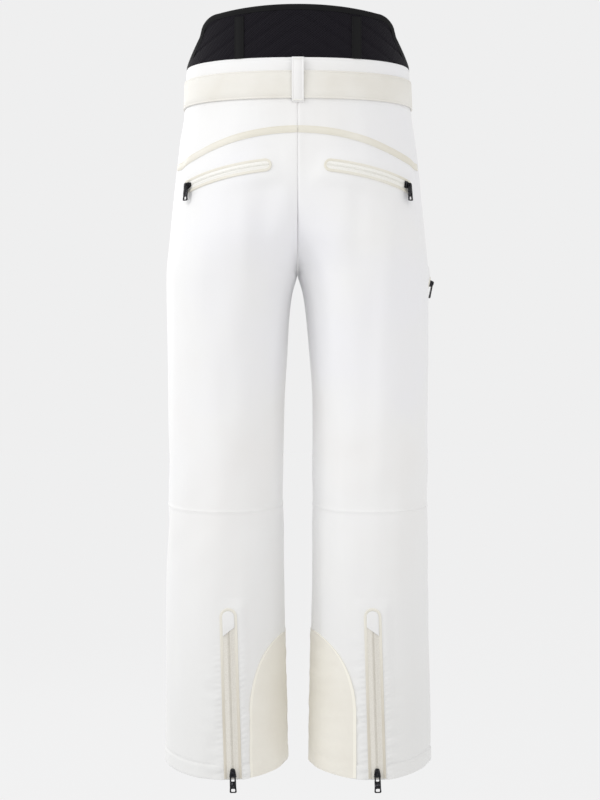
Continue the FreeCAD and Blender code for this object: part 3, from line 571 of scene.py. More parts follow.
def clothRelief(sign, point, u):
    # how far the cloth stands in or out of its cut, in mm; read in space, so neighbours agree at a seam
    x, y, z = point / mm
    seed = 11.3 if sign > 0 else 57.9
    total = relief["drape"] * softNoise(x / 62 + seed, y / 62, z / 260)
    total += relief["drape"] * 0.6 * softNoise(x / 27 + seed, y / 27, z / 150)
    total += relief["crease"] * softNoise(x / 48 + z / 120, y / 48 + seed, z / 55) * bell(z + 640, 130)
    # folds that run down and out from the fork
    fan = math.sin((abs(x) * 0.8 + (z + 300) * 0.55) / 17 + 1.7 * softNoise(x / 60, y / 60, z / 90 + seed))
    total += relief["hip"] * 0.5 * fan * bell(z + 335, 75) * bell(abs(x) - 55, 60)
    # soft upright folds from the seat down the back of the thigh
    upright = math.sin(abs(x) / 11.5 + 1.2 * softNoise(z / 140, seed, 4.0) + (0.6 if sign > 0 else 2.4))
    total += relief["seat"] * upright * bell(z + 300, 150) * bell(abs(x) - 50, 62) * max(
        0.0, min(1.0, y / 25)
    )
    # gathers under the waistband
    gather = softNoise(x / 9 + 31, z / 60, seed) + 0.6 * softNoise(x / 17 + 5, z / 45, seed)
    total += relief["waistPucker"] * gather * bell(z + 66, 20)
    total += relief["hemWave"] * softNoise(x / 24, y / 24 + seed, z / 70) * bell(z + 1000, 90)
    return total


def stitchRelief(sign, point, u):
    # small puckers beside the ankle zip and the turned-up hem, laid over the finished shape
    x, y, z = point / mm
    total = 0.0
    zipX = sign * 101.3 - 10.3 + (z + 1008) * 0.0297
    away = abs(x - zipX) - 12.5
    if y > 0 and z < -790 and away > 0:
        seed = (2.0 if x > zipX else 6.0) + sign
        slant = away * 0.35 * (1 if x > zipX else -1)
        tight = math.sin((z + slant) / 1.25 + 3.0 * softNoise(z / 30, seed, 1.0))
        strength = (0.35 + max(0.0, softNoise(z / 26, seed, 2.0) + 0.4)) * min(1.0, (-790 - z) / 90)
        total += relief["zipPucker"] * tight * strength * bell(away - 2.5, 6.5) * min(1.0, away / 2)
        broad = softNoise(z / 12, away / 26, seed)
        total += relief["zipPull"] * broad * bell(away - 9, 15) * min(
            1.0, (-790 - z) / 120
        ) * min(1.0, away / 3)
    # the hem is turned up and stitched: the band below the stitching stands a little proud
    aboveHem = z - hemLevel(u)
    if aboveHem < 30 and (away > 1 or y < 0):
        total += 0.8 * min(1.0, max(0.0, (19.5 - aboveHem) / 1.5)) - 1.1 * bell(aboveHem - 20.5, 1.5)
    return total


def seamDip(distance):
    # the edge rolls in and the folded allowance beside it swells
    dip = relief["seamDip"] * max(0.0, 1 - distance / relief["seamReach"]) ** 2
    return dip - relief["seamSwell"] * bell(distance - 3.4, 1.8)


def buildGrid(sign, uRange, levels, rowStep, columnStep):
    # cloth points between two seam curves; levels gives the upper and lower curve along u
    upper, lower = levels
    middleU = (uRange[0] + uRange[1]) / 2
    length = upper(middleU) - lower(middleU)
    rows = spacedSteps(length, rowStep)
    width = 270
    columns = spacedSteps(width, columnStep)
    grid = []
    for down in rows:
        line = []
        for along in columns:
            u = uRange[0] + (uRange[1] - uRange[0]) * along / width
            top, bottom = upper(u), lower(u)
            z = top + (bottom - top) * down / length
            line.append((u, z))
        grid.append(line)
    return grid, rows, columns, length, width


def curvedPaths():
    # each curved zip's circle: centre, axis, radius, the way to its middle and half its length, in metres
    paths = []
    for zipName, pullName in (
        ("back_pocket_zip_left", "back_pocket_pull_left_swivel"),
        ("back_pocket_zip_right", "back_pocket_pull_right_swivel"),
        ("thigh_pocket_zip", "thigh_pocket_pull_swivel"),
    ):
        centre = Vector(joints[zipName]["pos_m"])
        axis = Vector(joints[zipName]["axis"]).normalized()
        away = Vector(joints[pullName]["axis"]).normalized()
        radius = (Vector(joints[pullName]["pos_m"]) - centre).length - 6.5 * mm
        low, high = joints[zipName]["range_deg"]
        travel = math.radians(high if abs(high) > abs(low) else low)
        middleWay = Matrix.Rotation(travel / 2, 3, axis) @ away
        paths.append((centre, axis, radius, middleWay, abs(travel) / 2 * radius + 11.5 * mm))
    return paths


zipPaths = curvedPaths()
zipBed = {"under": 0.35, "flat": 9.5, "fade": 24}


def fadeOut(distance, flat, fade):
    share = max(0.0, min(1.0, 1 - (distance - flat) / fade))
    return share * share * (3 - 2 * share)


def onZipBed(point):
    # the cloth rises or sinks to lie just under each zip, and fades back to its own cut beside it
    for centre, axis, radius, middleWay, half in zipPaths:
        offset = point - centre
        along = offset.dot(axis)
        spoke = offset - axis * along
        if abs(along) > 40 * mm or abs(spoke.length - radius) > 14 * mm:
            continue
        spokeWay = spoke.normalized()
        arc = math.acos(max(-1.0, min(1.0, spokeWay.dot(middleWay)))) * radius
        weight = fadeOut(abs(along) / mm, zipBed["flat"], zipBed["fade"])
        weight *= fadeOut((arc - half) / mm, 2.0, zipBed["fade"])
        point = point + spokeWay * (radius - zipBed["under"] * mm - spoke.length) * weight
    x, y, z = point / mm
    side = 1 if x > 0 else -1
    if z < -755 and y > 60:
        away = abs(x - (side * 101.3 - 10.3 + (z + 1008) * 0.0297))
        weight = fadeOut(away, 12.5, 18) * min(1.0, (-755 - z) / 14)
        point = point + Vector((0, (94.3 - zipBed["under"] - y) * mm * weight, 0))
    if -212 < z < -60 and y < -90:
        weight = fadeOut(abs(x), 13, 22) * min(1.0, (z + 212) / 8)
        point = point + Vector((0, (-118.2 + zipBed["under"] - y) * mm * weight, 0))
    return point


clothTriangles = {"points": [], "faces": []}


def panelMesh(name, sign, uRange, levels, rowStep, columnStep, thickness=1.0):
    grid, rows, columns, length, width = buildGrid(sign, uRange, levels, rowStep, columnStep)
    base = [[cutPoint(sign, u, z) for u, z in line] for line in grid]
    normals = []
    for i, line in enumerate(base):
        row = []
        for j, point in enumerate(line):
            down = base[min(i + 1, len(base) - 1)][j] - base[max(i - 1, 0)][j]
            along = line[min(j + 1, len(line) - 1)] - line[max(j - 1, 0)]
            normal = along.cross(down) * sign
            row.append(normal.normalized() if normal.length > 1e-12 else Vector((0, 1, 0)))
        normals.append(row)
    mesh = bpy.data.meshes.new(name)
    vertices = []
    uvs = []
    for i, line in enumerate(grid):
        for j, (u, z) in enumerate(line):
            edge = min(rows[i], length - rows[i], columns[j], width - columns[j])
            dip = seamDip(edge)
            toKnee = abs(z - kneeLevel(u))
            if toKnee < 9:
                # the knee seam is lapped, so it reads as a fine raised line
                dip = -relief["kneeRidge"] * bell(toKnee, 2.0)
            rise = clothRelief(sign, base[i][j], u)
            if z > seams["waist"] - 45:
                rise *= max(0.25, min(1.0, (seams["waist"] + 4 - z) / 45))
            middle = min(1.0, abs(base[i][j].x) / mm / 12) if z > -298 else 1.0
            point = base[i][j] + normals[i][j] * ((rise * middle - dip) * mm)
            point = onZipBed(point) + normals[i][j] * stitchRelief(sign, base[i][j], u) * mm
            point.x = sign * max(0.05 * mm, sign * point.x)
            vertices.append(point)
            uvs.append((u * 0.56, z * mm))
    columnsCount = len(columns)
    faces = []
    for i in range(len(rows) - 1):
        for j in range(columnsCount - 1):
            a = i * columnsCount + j
            quad = (a, a + 1, a + columnsCount + 1, a + columnsCount)
            faces.append(quad if sign < 0 else quad[::-1])
    mesh.from_pydata(vertices, [], faces)
    layer = mesh.uv_layers.new(name="clothMap")
    for loop in mesh.loops:
        layer.data[loop.index].uv = uvs[loop.vertex_index]
    middleFace = mesh.polygons[len(mesh.polygons) // 2]
    axis = Vector((sign * 0.09, 0, middleFace.center.z))
    if middleFace.normal.dot(middleFace.center - axis) < 0:
        mesh.flip_normals()
    piece = bpy.data.objects.new(name, mesh)
    bpy.context.collection.objects.link(piece)
    first = len(clothTriangles["points"])
    clothTriangles["points"] += vertices
    clothTriangles["faces"] += [tuple(first + k for k in face) for face in faces]
    selectOnly(piece)
    bpy.ops.object.shade_smooth()
    wall = piece.modifiers.new("wall", "SOLIDIFY")
    wall.thickness = thickness * mm
    wall.offset = -1
    wall.use_even_offset = False
    bpy.ops.object.modifier_apply(modifier="wall")
    piece.data.materials.append(materials["shell"])
    return piece


def waistLevel(u):
    return seams["waist"]


legPieces = {}
for side, sign in sides.items():
    body = f"lower_leg_{side}"
    made = {
        "back_yoke_cloth": ((0, 0.5), (waistLevel, yokeLevel), 2.6, 4.0, ["back_yoke"]),
        "seat_back_cloth": ((0, 0.5), (yokeLevel, kneeLevel), 4.5, 3.6, ["seat_and_thigh_back"]),
        "front_cloth": ((0.5, 1), (waistLevel, kneeLevel), 5.0, 4.5, ["front_thigh"]),
        "calf_back_cloth": ((0, 0.5), (kneeLevel, hemLevel), 1.7, 2.6, ["lower_leg_back", "knee_section"]),
        "calf_front_cloth": ((0.5, 1), (kneeLevel, hemLevel), 3.2, 3.2, ["lower_leg_front"]),
    }
    for label, (uRange, levels, rowStep, columnStep, nodes) in made.items():
        name = f"{label}_{side}"
        piece = panelMesh(name, sign, uRange, levels, rowStep, columnStep)
        legPieces[name] = (piece, [f"{node}_{side}" for node in nodes], side)
print("cloth panels ready")


clothTree = BVHTree.FromPolygons(clothTriangles["points"], clothTriangles["faces"])


for name, (piece, nodes, side) in legPieces.items():
    if "yoke" in name:
        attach(piece, "trousers")
    else:
        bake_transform(piece)
    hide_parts(*nodes)

# strips of cloth that follow a path


def gridMesh(name, rows, uvs, material, closeAcross=True, closeAlong=False, capEnds=True):
    # rows of points along a path, each row once round the strip's section
    count = len(rows[0])
    faces = []
    total = len(rows)
    for i in range(total if closeAlong else total - 1):
        k = (i + 1) % total
        for j in range(count if closeAcross else count - 1):
            m = (j + 1) % count
            faces.append((i * count + j, i * count + m, k * count + m, k * count + j))
    if capEnds and closeAcross and not closeAlong:
        faces.append(tuple(range(count))[::-1])
        faces.append(tuple(range((total - 1) * count, total * count)))
    mesh = bpy.data.meshes.new(name)
    mesh.from_pydata([point for row in rows for point in row], [], faces)
    layer = mesh.uv_layers.new(name="clothMap")
    flat = [uv for row in uvs for uv in row]
    for loop in mesh.loops:
        layer.data[loop.index].uv = flat[loop.vertex_index]
    piece = bpy.data.objects.new(name, mesh)
    bpy.context.collection.objects.link(piece)
    selectOnly(piece)
    bpy.ops.object.mode_set(mode="EDIT")
    bpy.ops.mesh.select_all(action="SELECT")
    bpy.ops.mesh.normals_make_consistent(inside=False)
    bpy.ops.object.mode_set(mode="OBJECT")
    bpy.ops.object.shade_smooth_by_angle(angle=math.radians(50))
    piece.data.materials.append(material)
    return piece


def stripProfile(width, height, foot=0.0, lines=(), roll=0.5):
    # once round a flat strip, in mm: across and height; stitch lines are shallow dips across its top
    half = width / 2
    top = [
        (-half, foot),
        (-half, height - roll),
        (-half + 0.3 * roll, height - 0.3 * roll),
        (-half + roll, height),
    ]
    dips = sorted(x for line in lines for x in ((line, -line) if line else (0.0,)))
    for x in dips:
        top += [(x - 0.5, height), (x, height - 0.3), (x + 0.5, height)]
    top += [
        (half - roll, height), (half - 0.3 * roll, height - 0.3 * roll), (half, height - roll), (half, foot)
    ]
    return top


def clothHeight(point, outward):
    # how far the cloth stands above a point, in mm
    hit, normal, face, distance = clothTree.ray_cast(point + outward * 0.03, -outward, 0.08)
    return 0.0 if hit is None else (hit - point).dot(outward) / mm


def stripFloor(point, across, outward, profile):
    # level, tilt and lift of the bed on which a strip lies without sinking into the cloth
    half = max(a for a, h in profile)
    spots = [-half, -half / 2, 0.0, half / 2, half]
    heights = [clothHeight(point + across * a * mm, outward) for a in spots]
    tilt = (heights[-1] - heights[0]) / (2 * half)
    middle = (heights[-1] + heights[0]) / 2
    lift = max(0.0, max(h - middle - tilt * a for a, h in zip(spots, heights)))
    return middle, tilt, lift


def sweepStrip(name, stations, profile, material, closed=False, conform=False, least=None):
    # stations hold a point, the way across and the way out of the cloth, all in metres
    rows = []
    uvs = []
    travelled = 0.0
    last = None
    for point, across, outward in stations:
        if last is not None:
            travelled += (point - last).length
        last = point
        row = []
        floor = stripFloor(point, across, outward, profile) if conform else (0.0, 0.0, 0.0)
        for a, h in profile:
            level = floor[0] + floor[1] * a + floor[2]
            if least is not None and h > 0:
                level = max(level, least)
            row.append(point + (across * a + outward * (h + level)) * mm)
        rows.append(row)
        uvs.append([(a * mm, travelled) for a, h in profile])
    return gridMesh(name, rows, uvs, material, closeAlong=closed)


def finish(piece, body, slotName, *nodes):
    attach(piece, body)
    if nodes:
        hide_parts(*nodes)
    return piece


# waist


def ringPoint(angle, z, grow):
    # angle 0 is the wearer's left side and a quarter turn is the middle of the back
    outer, inner, centre, back, front = sectionAt(z)
    cosine, sine = math.cos(angle), math.sin(angle)
    x = math.copysign((outer + grow) * abs(cosine) ** (2 / ovalPower), cosine)
    y = math.copysign(((back if sine > 0 else front) + grow) * abs(sine) ** (2 / ovalPower), sine)
    return Vector((x, y, z)) * mm


def ringAt(x, z, facing, grow=0.0):
    outer, inner, centre, back, front = sectionAt(z)
    depth = (back if facing > 0 else front) + grow
    share = min(1.0, abs(x) / (outer + grow))
    return Vector((x, facing * depth * (1 - share**ovalPower) ** (1 / ovalPower), z)) * mm


def ringNormal(x, z, facing):
    along = ringAt(x + 2, z, facing) - ringAt(x - 2, z, facing)
    return (Vector((0, 0, 1)).cross(along) * facing).normalized()


def ringMesh(name, profile, material, columns=200, wave=None):
    rows = []
    uvs = []
    for k in range(columns):
        angle = 2 * math.pi * k / columns
        row = []
        for z, grow in profile:
            extra = wave(angle, z) if wave and grow > -2 else 0.0
            row.append(ringPoint(angle, z, grow + extra))
        rows.append(row)
        uvs.append([(angle * 0.145, z * mm) for z, grow in profile])
    return gridMesh(name, rows, uvs, material, closeAlong=True)


band = {"foot": -62, "wall": 4, "roll": 1.6, "stitch": 4.2, "pucker": 0.35}


def bandWave(angle, z):
    # small gathers, strongest at the seam with the legs and beside the back loop
    nearLoop = bell(angle - math.pi / 2, 0.16)
    ripple = softNoise(angle * 26, z / 30, 3.0) + 0.5 * softNoise(angle * 60, z / 14, 9.0)
    return band["pucker"] * ripple * (0.35 + 1.6 * nearLoop + 0.7 * bell(z - band["foot"], 8))


bandProfile = [
    (0.0, -2.0), (-0.4, -0.8), (-1.4, -0.1), (-3.2, 0.0), (-4.2, -0.35), (-5.2, 0.0), (-9, 0.05), (-14, 0.0)
]
bandProfile += [
    (-18, 0),
    (-30, 0),
    (-44, 0),
    (-54, 0),
    (-57.0, 0.1),
    (-58.6, -0.3),
    (-60, 0.1),
    (-61.6, -0.1),
    (-62, -0.8),
]
bandProfile += [(-62, -3.2), (-55, -3.8), (-30, -4), (-6, -4), (-1.2, -3.7), (-0.2, -3.0)]
waistband = ringMesh("waistband_cloth", bandProfile, materials["shell"], wave=bandWave)
finish(waistband, "trousers", "shell_fabric", "waistband")

belt = {"top": -19, "width": 39, "gap": 0.3, "thickness": 2.2}


beltTop, beltFoot = belt["top"], belt["top"] - belt["width"]
beltOut = belt["gap"] + belt["thickness"]
beltProfile = [(beltTop, belt["gap"] + 0.2), (beltTop, beltOut - 0.5), (beltTop - 0.5, beltOut)]
beltProfile += [(beltTop - 1.8, beltOut), (beltTop - 2.4, beltOut - 0.35), (beltTop - 3.0, beltOut)]
beltProfile += [(beltTop - 12, beltOut), (beltTop - 19.5, beltOut), (beltTop - 27, beltOut)]
beltProfile += [(beltFoot + 3.0, beltOut), (beltFoot + 2.4, beltOut - 0.35), (beltFoot + 1.8, beltOut)]
beltProfile += [(beltFoot + 0.5, beltOut), (beltFoot, beltOut - 0.5), (beltFoot, belt["gap"] + 0.2)]
beltProfile += [(beltFoot + 1, belt["gap"]), (beltTop - 1, belt["gap"])]
finish(
    ringMesh("belt_webbing_band", beltProfile, materials["webbing"]), "trousers", "webbing", "belt_webbing"
)

loopCut = {"width": 17, "cloth": 1.3, "tackInset": 2.5, "frontX": 92}


def beltLoop(name, x, facing, node):
    # a folded strip, tacked flat above and below and bridging the belt
    normal = ringNormal(x, -62, facing)
    across = normal.cross(Vector((0, 0, 1)))
    path = [(-0.5, 1.2), (-4, 1.35), (-8, 1.7), (-13, 3.0), (-17, 4.1), (-22, 4.4), (-38, 4.45), (-55, 4.4)]
    path += [(-59.5, 4.1), (-62, 3.0), (-63.4, 1.8)]
    base = ringAt(x, -62, facing)
    stations = []
    for z, h in path:
        point = Vector((base.x, base.y, z * mm)) + normal * (h - loopCut["cloth"]) * mm
        stations.append((point, across, normal))
    profile = stripProfile(loopCut["width"], loopCut["cloth"], -0.3, lines=(5.6,))
    loop = sweepStrip(name, stations, profile, materials["shell"])
    finish(loop, "trousers", "shell_fabric", node)
    # rows of tight zigzag thread that hold the loop's two ends
    for where, z, h in (("upper", -3.2, 1.45), ("lower", -60.6, 4.0)):
        rowStations = []
        for k in range(29):
            step = k / 28 - 0.5
            stitchLift = normal * (h - 0.25 + 0.18 * (k % 2)) * mm
            point = Vector((base.x, base.y, z * mm)) + stitchLift + across * step * 13 * mm
            rowStations.append((point, Vector((0, 0, 1)), normal))
        tack = sweepStrip(
            f"{name}_{where}_bartack", rowStations, stripProfile(1.9, 0.35, -0.3), materials["coil"]
        )
        finish(tack, "trousers", "shell_fabric")


beltLoop("back_belt_loop", 0, 1, "belt_loop_back")
beltLoop("front_belt_loop_left", loopCut["frontX"], -1, "belt_loop_front_left")
beltLoop("front_belt_loop_right", -loopCut["frontX"], -1, "belt_loop_front_right")
print("waist ready")

# raised back

crown = {
    "height": 74,
    "half": 138,
    "corner": 26,
    "drop": 8,
    "binding": 8,
    "thickness": 5,
    "quiltStep": 21,
    "quiltDip": 1.2,
    "stayX": 82,
    "stayWidth": 14,
    "stayTop": 58,
}


def crownTop(x):
    # the raised back's upper edge, seen square from behind
    x = abs(x)
    shoulder = crown["height"] - crown["drop"]
    flat = crown["half"] - crown["corner"]
    if x <= flat:
        radius = (flat**2 + crown["drop"] ** 2) / (2 * crown["drop"])
        return crown["height"] - radius + math.sqrt(radius**2 - x**2)
    if x <= crown["half"]:
        return shoulder - crown["corner"] + math.sqrt(max(0.0, crown["corner"] ** 2 - (x - flat) ** 2))
    return (shoulder - crown["corner"]) * max(0.0, 161 - x) / (161 - crown["half"])


def quilt(x, z):
    # plain chevrons pointing up, sewn at even steps
    phase = (z + abs(x) * 0.62) / crown["quiltStep"]
    away = abs(phase - round(phase)) * crown["quiltStep"]
    return -crown["quiltDip"] * math.exp(-((away / 1.6) ** 2))


def crownPanel():
    rows = []
    uvs = []
    columns = 150
    for k in range(columns + 1):
        angle = 0.03 + (math.pi - 0.06) * k / columns
        x = math.copysign(161 * abs(math.cos(angle)) ** (2 / ovalPower), math.cos(angle))
        top = max(crownTop(x) - 2.5, 0.8)
        row = []
        uv = []
        heights = [top * j / 30 for j in range(31)]
        for z in heights:
            edge = min(z, top - z, 6) / 6
            row.append(ringAt(x, z, 1, -0.9 + 0.7 * edge + quilt(x, z)))
            uv.append((angle * 0.145, z * mm))
        for z in reversed(heights[::5]):
            row.append(ringAt(x, z, 1, -crown["thickness"]))
            uv.append((angle * 0.145, z * mm))
        rows.append(row)
        uvs.append(uv)
    return gridMesh("lumbar_mesh_pad", rows, uvs, materials["mesh"])


crownPad = crownPanel()
finish(crownPad, "trousers", "spacer_mesh", "lumbar_mesh_panel")


def crownEdge():
    points = []
    steps = 170
    for k in range(steps + 1):
        t = -1 + 2 * k / steps
        x = 161 * math.copysign(abs(t) ** 0.8, t)
        points.append((x, max(crownTop(x), 0.4)))
    return points


def bindingStrip():
    edge = crownEdge()
    stations = []
    for k, (x, z) in enumerate(edge):
        a = edge[max(k - 1, 0)]
        b = edge[min(k + 1, len(edge) - 1)]
        here = ringAt(x, z, 1)
        along = (ringAt(b[0], b[1], 1) - ringAt(a[0], a[1], 1)).normalized()
        if along.length < 0.5:
            continue
        outward = ringNormal(max(-150, min(150, x)), max(z, 1), 1)
        inward = along.cross(outward).normalized()
        if inward.z > 0:
            inward = -inward
        stations.append((here, inward, outward))
    width = crown["binding"]
    profile = [
        (0.6, -4.8), (0.0, -3.4), (-0.35, -1.8), (0.0, -0.4), (0.7, 0.35), (2.0, 0.6), (width - 2.4, 0.55)
    ]
    profile += [(width - 1.6, 0.25), (width - 1.0, 0.5), (width - 0.2, 0.3), (width, -0.6), (width, -4.6)]
    profile += [(width - 1, -5.3), (2, -5.5)]
    return sweepStrip("lumbar_edge_binding", stations, profile, materials["binding"])


finish(bindingStrip(), "trousers", "black_binding", "lumbar_binding")
for side, sign in sides.items():
    stations = []
    for k in range(15):
        z = 0.6 + crown["stayTop"] * k / 14
        x = sign * crown["stayX"]
        outward = ringNormal(x, z, 1)
        across = Vector((0, 0, 1)).cross(outward)
        stations.append((ringAt(x, z, 1), across, outward))
    casing = sweepStrip(
        f"stay_casing_{side}", stations, stripProfile(
            crown["stayWidth"], 1.2, -0.8, lines=(5.4,)
        ), materials["binding"]
    )
    finish(casing, "trousers", "spacer_mesh", f"lumbar_stay_{side}")
print("raised back ready")

# yoke tapes

yokeTape = {"width": 10, "height": 1.0, "stitch": 3.9}
for side, sign in sides.items():
    stations = []
    count = 60
    for k in range(count + 1):
        share = k / count
        x = 0.4 + 169 * math.sin(share * math.pi / 2) ** 1.0
        z = yokeAtX(x)
        outer, inner, centre, back, front = sectionAt(z)
        u = uAtX(x, z)
        here = cutPoint(sign, u, z)
        ahead = cutPoint(sign, min(u + 0.004, 0.5), z)
        behind = cutPoint(sign, max(u - 0.004, 0.0), z)
        outward = (ahead - behind).cross(Vector((0, 0, -1))).normalized()
        if outward.y < 0:
            outward = -outward
        slope = (yokeAtX(x + 1) - yokeAtX(x - 1)) / 2
        across = Vector((-sign * slope, 0, 1))
        across = (across - outward * across.dot(outward)).normalized()
        stations.append((here, across, outward))
    profile = stripProfile(
        yokeTape["width"], yokeTape["height"], -1.0, lines=(yokeTape["stitch"],), roll=0.4
    )
    tape = sweepStrip(f"yoke_seam_tape_{side}", stations, profile, materials["trim"], conform=True)
    finish(tape, "trousers", "bonded_trim", f"yoke_tape_{side}")
print("yoke tapes ready")

# hardware, modelled once about the origin and copied

slider = {"width": 10.6, "length": 13, "height": 3.6, "shoulder": 2.6, "ear": 1.3, "tail": 0.62}
pull = {
    "width": 9,
    "thickness": 1.6,
    "long": 27,
    "short": 22,
    "bar": 1.6,
    "slotWidth": 5.6,
    "slotLength": 4.2,
    "slotWall": 1.5,
}


def addBlock(name, x, y, z):
    # a block between pairs of limits in mm
    clearSelection()
    centre = [sum(limits) / 2 * mm for limits in (x, y, z)]
    bpy.ops.mesh.primitive_cube_add(size=1, location=(0, 0, 0))
    block = bpy.context.object
    block.name = name
    block.data.name = name
    size = [(limits[1] - limits[0]) * mm for limits in (x, y, z)]
    block.data.transform(Matrix.Translation(centre) @ Matrix.Diagonal((*size, 1)))
    return block


def roundEdges(piece, along, radius, steps=4, where=None):
    # round the edges that run along one axis, or only those whose middle passes a test
    selectOnly(piece)
    bpy.ops.object.mode_set(mode="EDIT")
    bpy.ops.mesh.select_mode(type="EDGE")
    bpy.ops.mesh.select_all(action="DESELECT")
    mesh = bmesh.from_edit_mesh(piece.data)
    for edge in mesh.edges:
        run = (edge.verts[1].co - edge.verts[0].co).normalized()
        middle = (edge.verts[0].co + edge.verts[1].co) / 2 / mm
        if abs(run["xyz".index(along)]) > 0.9 and (where is None or where(middle)):
            edge.select = True
    bmesh.update_edit_mesh(piece.data)
    bpy.ops.mesh.bevel(offset=radius * mm, segments=steps, affect="EDGES")
    bpy.ops.object.mode_set(mode="OBJECT")


def scaleEnd(piece, test, x=1.0, y=1.0, z=1.0):
    # scale the corners that pass a test about the origin
    selectOnly(piece)
    bpy.ops.object.mode_set(mode="EDIT")
    bpy.ops.mesh.select_mode(type="VERT")
    bpy.ops.mesh.select_all(action="DESELECT")
    mesh = bmesh.from_edit_mesh(piece.data)
    for vertex in mesh.verts:
        vertex.select = test(vertex.co / mm)
    mesh.select_flush(True)
    bmesh.update_edit_mesh(piece.data)
    bpy.ops.transform.resize(value=(x, y, z), center_override=(0, 0, 0))
    bpy.ops.object.mode_set(mode="OBJECT")


def applyModifier(piece, kind, **settings):
    selectOnly(piece)
    modifier = piece.modifiers.new(kind.lower(), kind)
    for key, value in settings.items():
        setattr(modifier, key, value)
    bpy.ops.object.modifier_apply(modifier=modifier.name)


def cutOut(piece, cutter):
    applyModifier(piece, "BOOLEAN", operation="DIFFERENCE", solver="EXACT", object=cutter)
    bpy.data.objects.remove(cutter)


def softenAll(piece, radius=0.22):
    applyModifier(
        piece,
        "BEVEL",
        width=radius * mm,
        segments=2,
        limit_method="ANGLE",
        angle_limit=math.radians(40),
        use_clamp_overlap=True,
    )
    selectOnly(piece)
    bpy.ops.object.shade_smooth_by_angle(angle=math.radians(35))


def joinAll(first, others):
    clearSelection()
    for other in others:
        other.select_set(True)
    first.select_set(True)
    bpy.context.view_layer.objects.active = first
    bpy.ops.object.join()
    return first


def sliderBody(name):
    half = slider["length"] / 2
    body = addBlock(name, (-slider["width"] / 2, slider["width"] / 2), (0, slider["height"]), (-half, half))
    scaleEnd(body, lambda spot: spot.z > 0, x=slider["tail"])
    roundEdges(body, "y", slider["shoulder"], 5, lambda spot: spot.z > 0)
    roundEdges(body, "y", slider["ear"], 4, lambda spot: spot.z < -half + 0.1)
    # the top plate is smaller than the flanges that hold the teeth
    scaleEnd(body, lambda spot: spot.y > 2, x=0.86, z=0.92)
    waist = addBlock("flangeGap", (-9, 9), (1.15, 1.75), (-9, 9))
    core = addBlock("post", (-3.4, 3.4), (1.0, 1.9), (-5.6, 5.6))
    roundEdges(core, "y", 2.0, 4)
    cutOut(body, waist)
    softenAll(body, 0.3)
    softenAll(core, 0.1)
    return joinAll(body, [core])


def bailSlider():
    body = sliderBody("bailSliderModel")
    bail = addBlock("bailArch", (-1.6, 1.6), (3.4, 7.4), (-4.4, 4.4))
    roundEdges(bail, "x", 2.2, 5, lambda spot: spot.y > 5)
    eye = addBlock("bailEye", (-5, 5), (2.9, 6.2), (-2.6, 2.6))
    roundEdges(eye, "x", 1.1, 4, lambda spot: spot.y > 5)
    cutOut(bail, eye)
    softenAll(bail, 0.35)
    return joinAll(body, [bail])


def studSlider():
    body = sliderBody("studSliderModel")
    clearSelection()
    turned = []
    for radius, low, high in ((1.5, 3.2, 6.2), (2.7, 5.8, 6.6)):
        bpy.ops.mesh.primitive_cylinder_add(vertices=32, radius=radius * mm, depth=(high - low) * mm)
        disc = bpy.context.object
        laidAcross = Matrix.Rotation(math.radians(90), 4, "X")
        disc.data.transform(Matrix.Translation((0, (low + high) / 2 * mm, 0)) @ laidAcross)
        softenAll(disc, 0.25)
        turned.append(disc)
    return joinAll(body, turned)


def pullPlate(name, length, onBail):
    top = pull["bar"] / 2 if onBail else 3.4
    half = pull["thickness"] / 2
    plate = addBlock(name, (-pull["width"] / 2, pull["width"] / 2), (-half, half), (-length, top))
    selectOnly(plate)
    # narrow shoulders at the top, and an end that flares
    bpy.ops.object.mode_set(mode="EDIT")
    for level in (-length * 0.3, -length * 0.42, -length * 0.72):
        bpy.ops.mesh.select_all(action="SELECT")
        bpy.ops.mesh.bisect(plane_co=(0, 0, level * mm), plane_no=(0, 0, 1))
    bpy.ops.object.mode_set(mode="OBJECT")
    scaleEnd(plate, lambda spot: spot.z > -length * 0.36, x=0.93)
    scaleEnd(plate, lambda spot: spot.z < -length + 0.1, x=1.14)
    if onBail:
        roundEdges(plate, "y", 1.2, 4, lambda spot: spot.z > top - 0.1)
    else:
        roundEdges(plate, "y", 3.3, 6, lambda spot: spot.z > top - 0.1)
    roundEdges(plate, "y", 2.2, 5, lambda spot: spot.z < -length + 0.1)
    if onBail:
        window = addBlock("pullWindow", (-2.2, 2.2), (-3, 3), (-length * 0.41, -0.8))
        roundEdges(window, "y", 0.9, 4)
    else:
        clearSelection()
        bpy.ops.mesh.primitive_cylinder_add(vertices=28, radius=1.8 * mm, depth=6 * mm)
        window = bpy.context.object
        window.data.transform(Matrix.Rotation(math.radians(90), 4, "X"))
    cutOut(plate, window)
    slotFoot = -length + pull["slotWall"]
    slotHalf = pull["slotWidth"] / 2
    slot = addBlock("pullSlot", (-slotHalf, slotHalf), (-3, 3), (slotFoot, slotFoot + pull["slotLength"]))
    roundEdges(slot, "y", 1.3, 4)
    cutOut(plate, slot)
    # a shallow panel sunk into each face between the window and the slot
    for face in (-1, 1):
        panel = addBlock(
            "pullPanel",
            (-2.3, 2.3),
            sorted((face * half * 0.75, face * 3)),
            (slotFoot + 5.6, -length * 0.41 - 1.6),
        )
        roundEdges(panel, "y", 0.8, 3)
        cutOut(plate, panel)
    softenAll(plate, 0.24)
    return plate


models = {
    "bailSlider": bailSlider(),
    "studSlider": studSlider(),
    "longPull": pullPlate("longPullModel", pull["long"], True),
    "shortPull": pullPlate("shortPullModel", pull["short"], True),
    "studPull": pullPlate("studPullModel", pull["short"], False),
}
print("hardware models ready")


def frameAt(base, xAxis, yAxis):
    zAxis = xAxis.cross(yAxis)
    turn = Matrix((xAxis, yAxis, zAxis)).transposed().to_4x4()
    return Matrix.Translation(base) @ turn


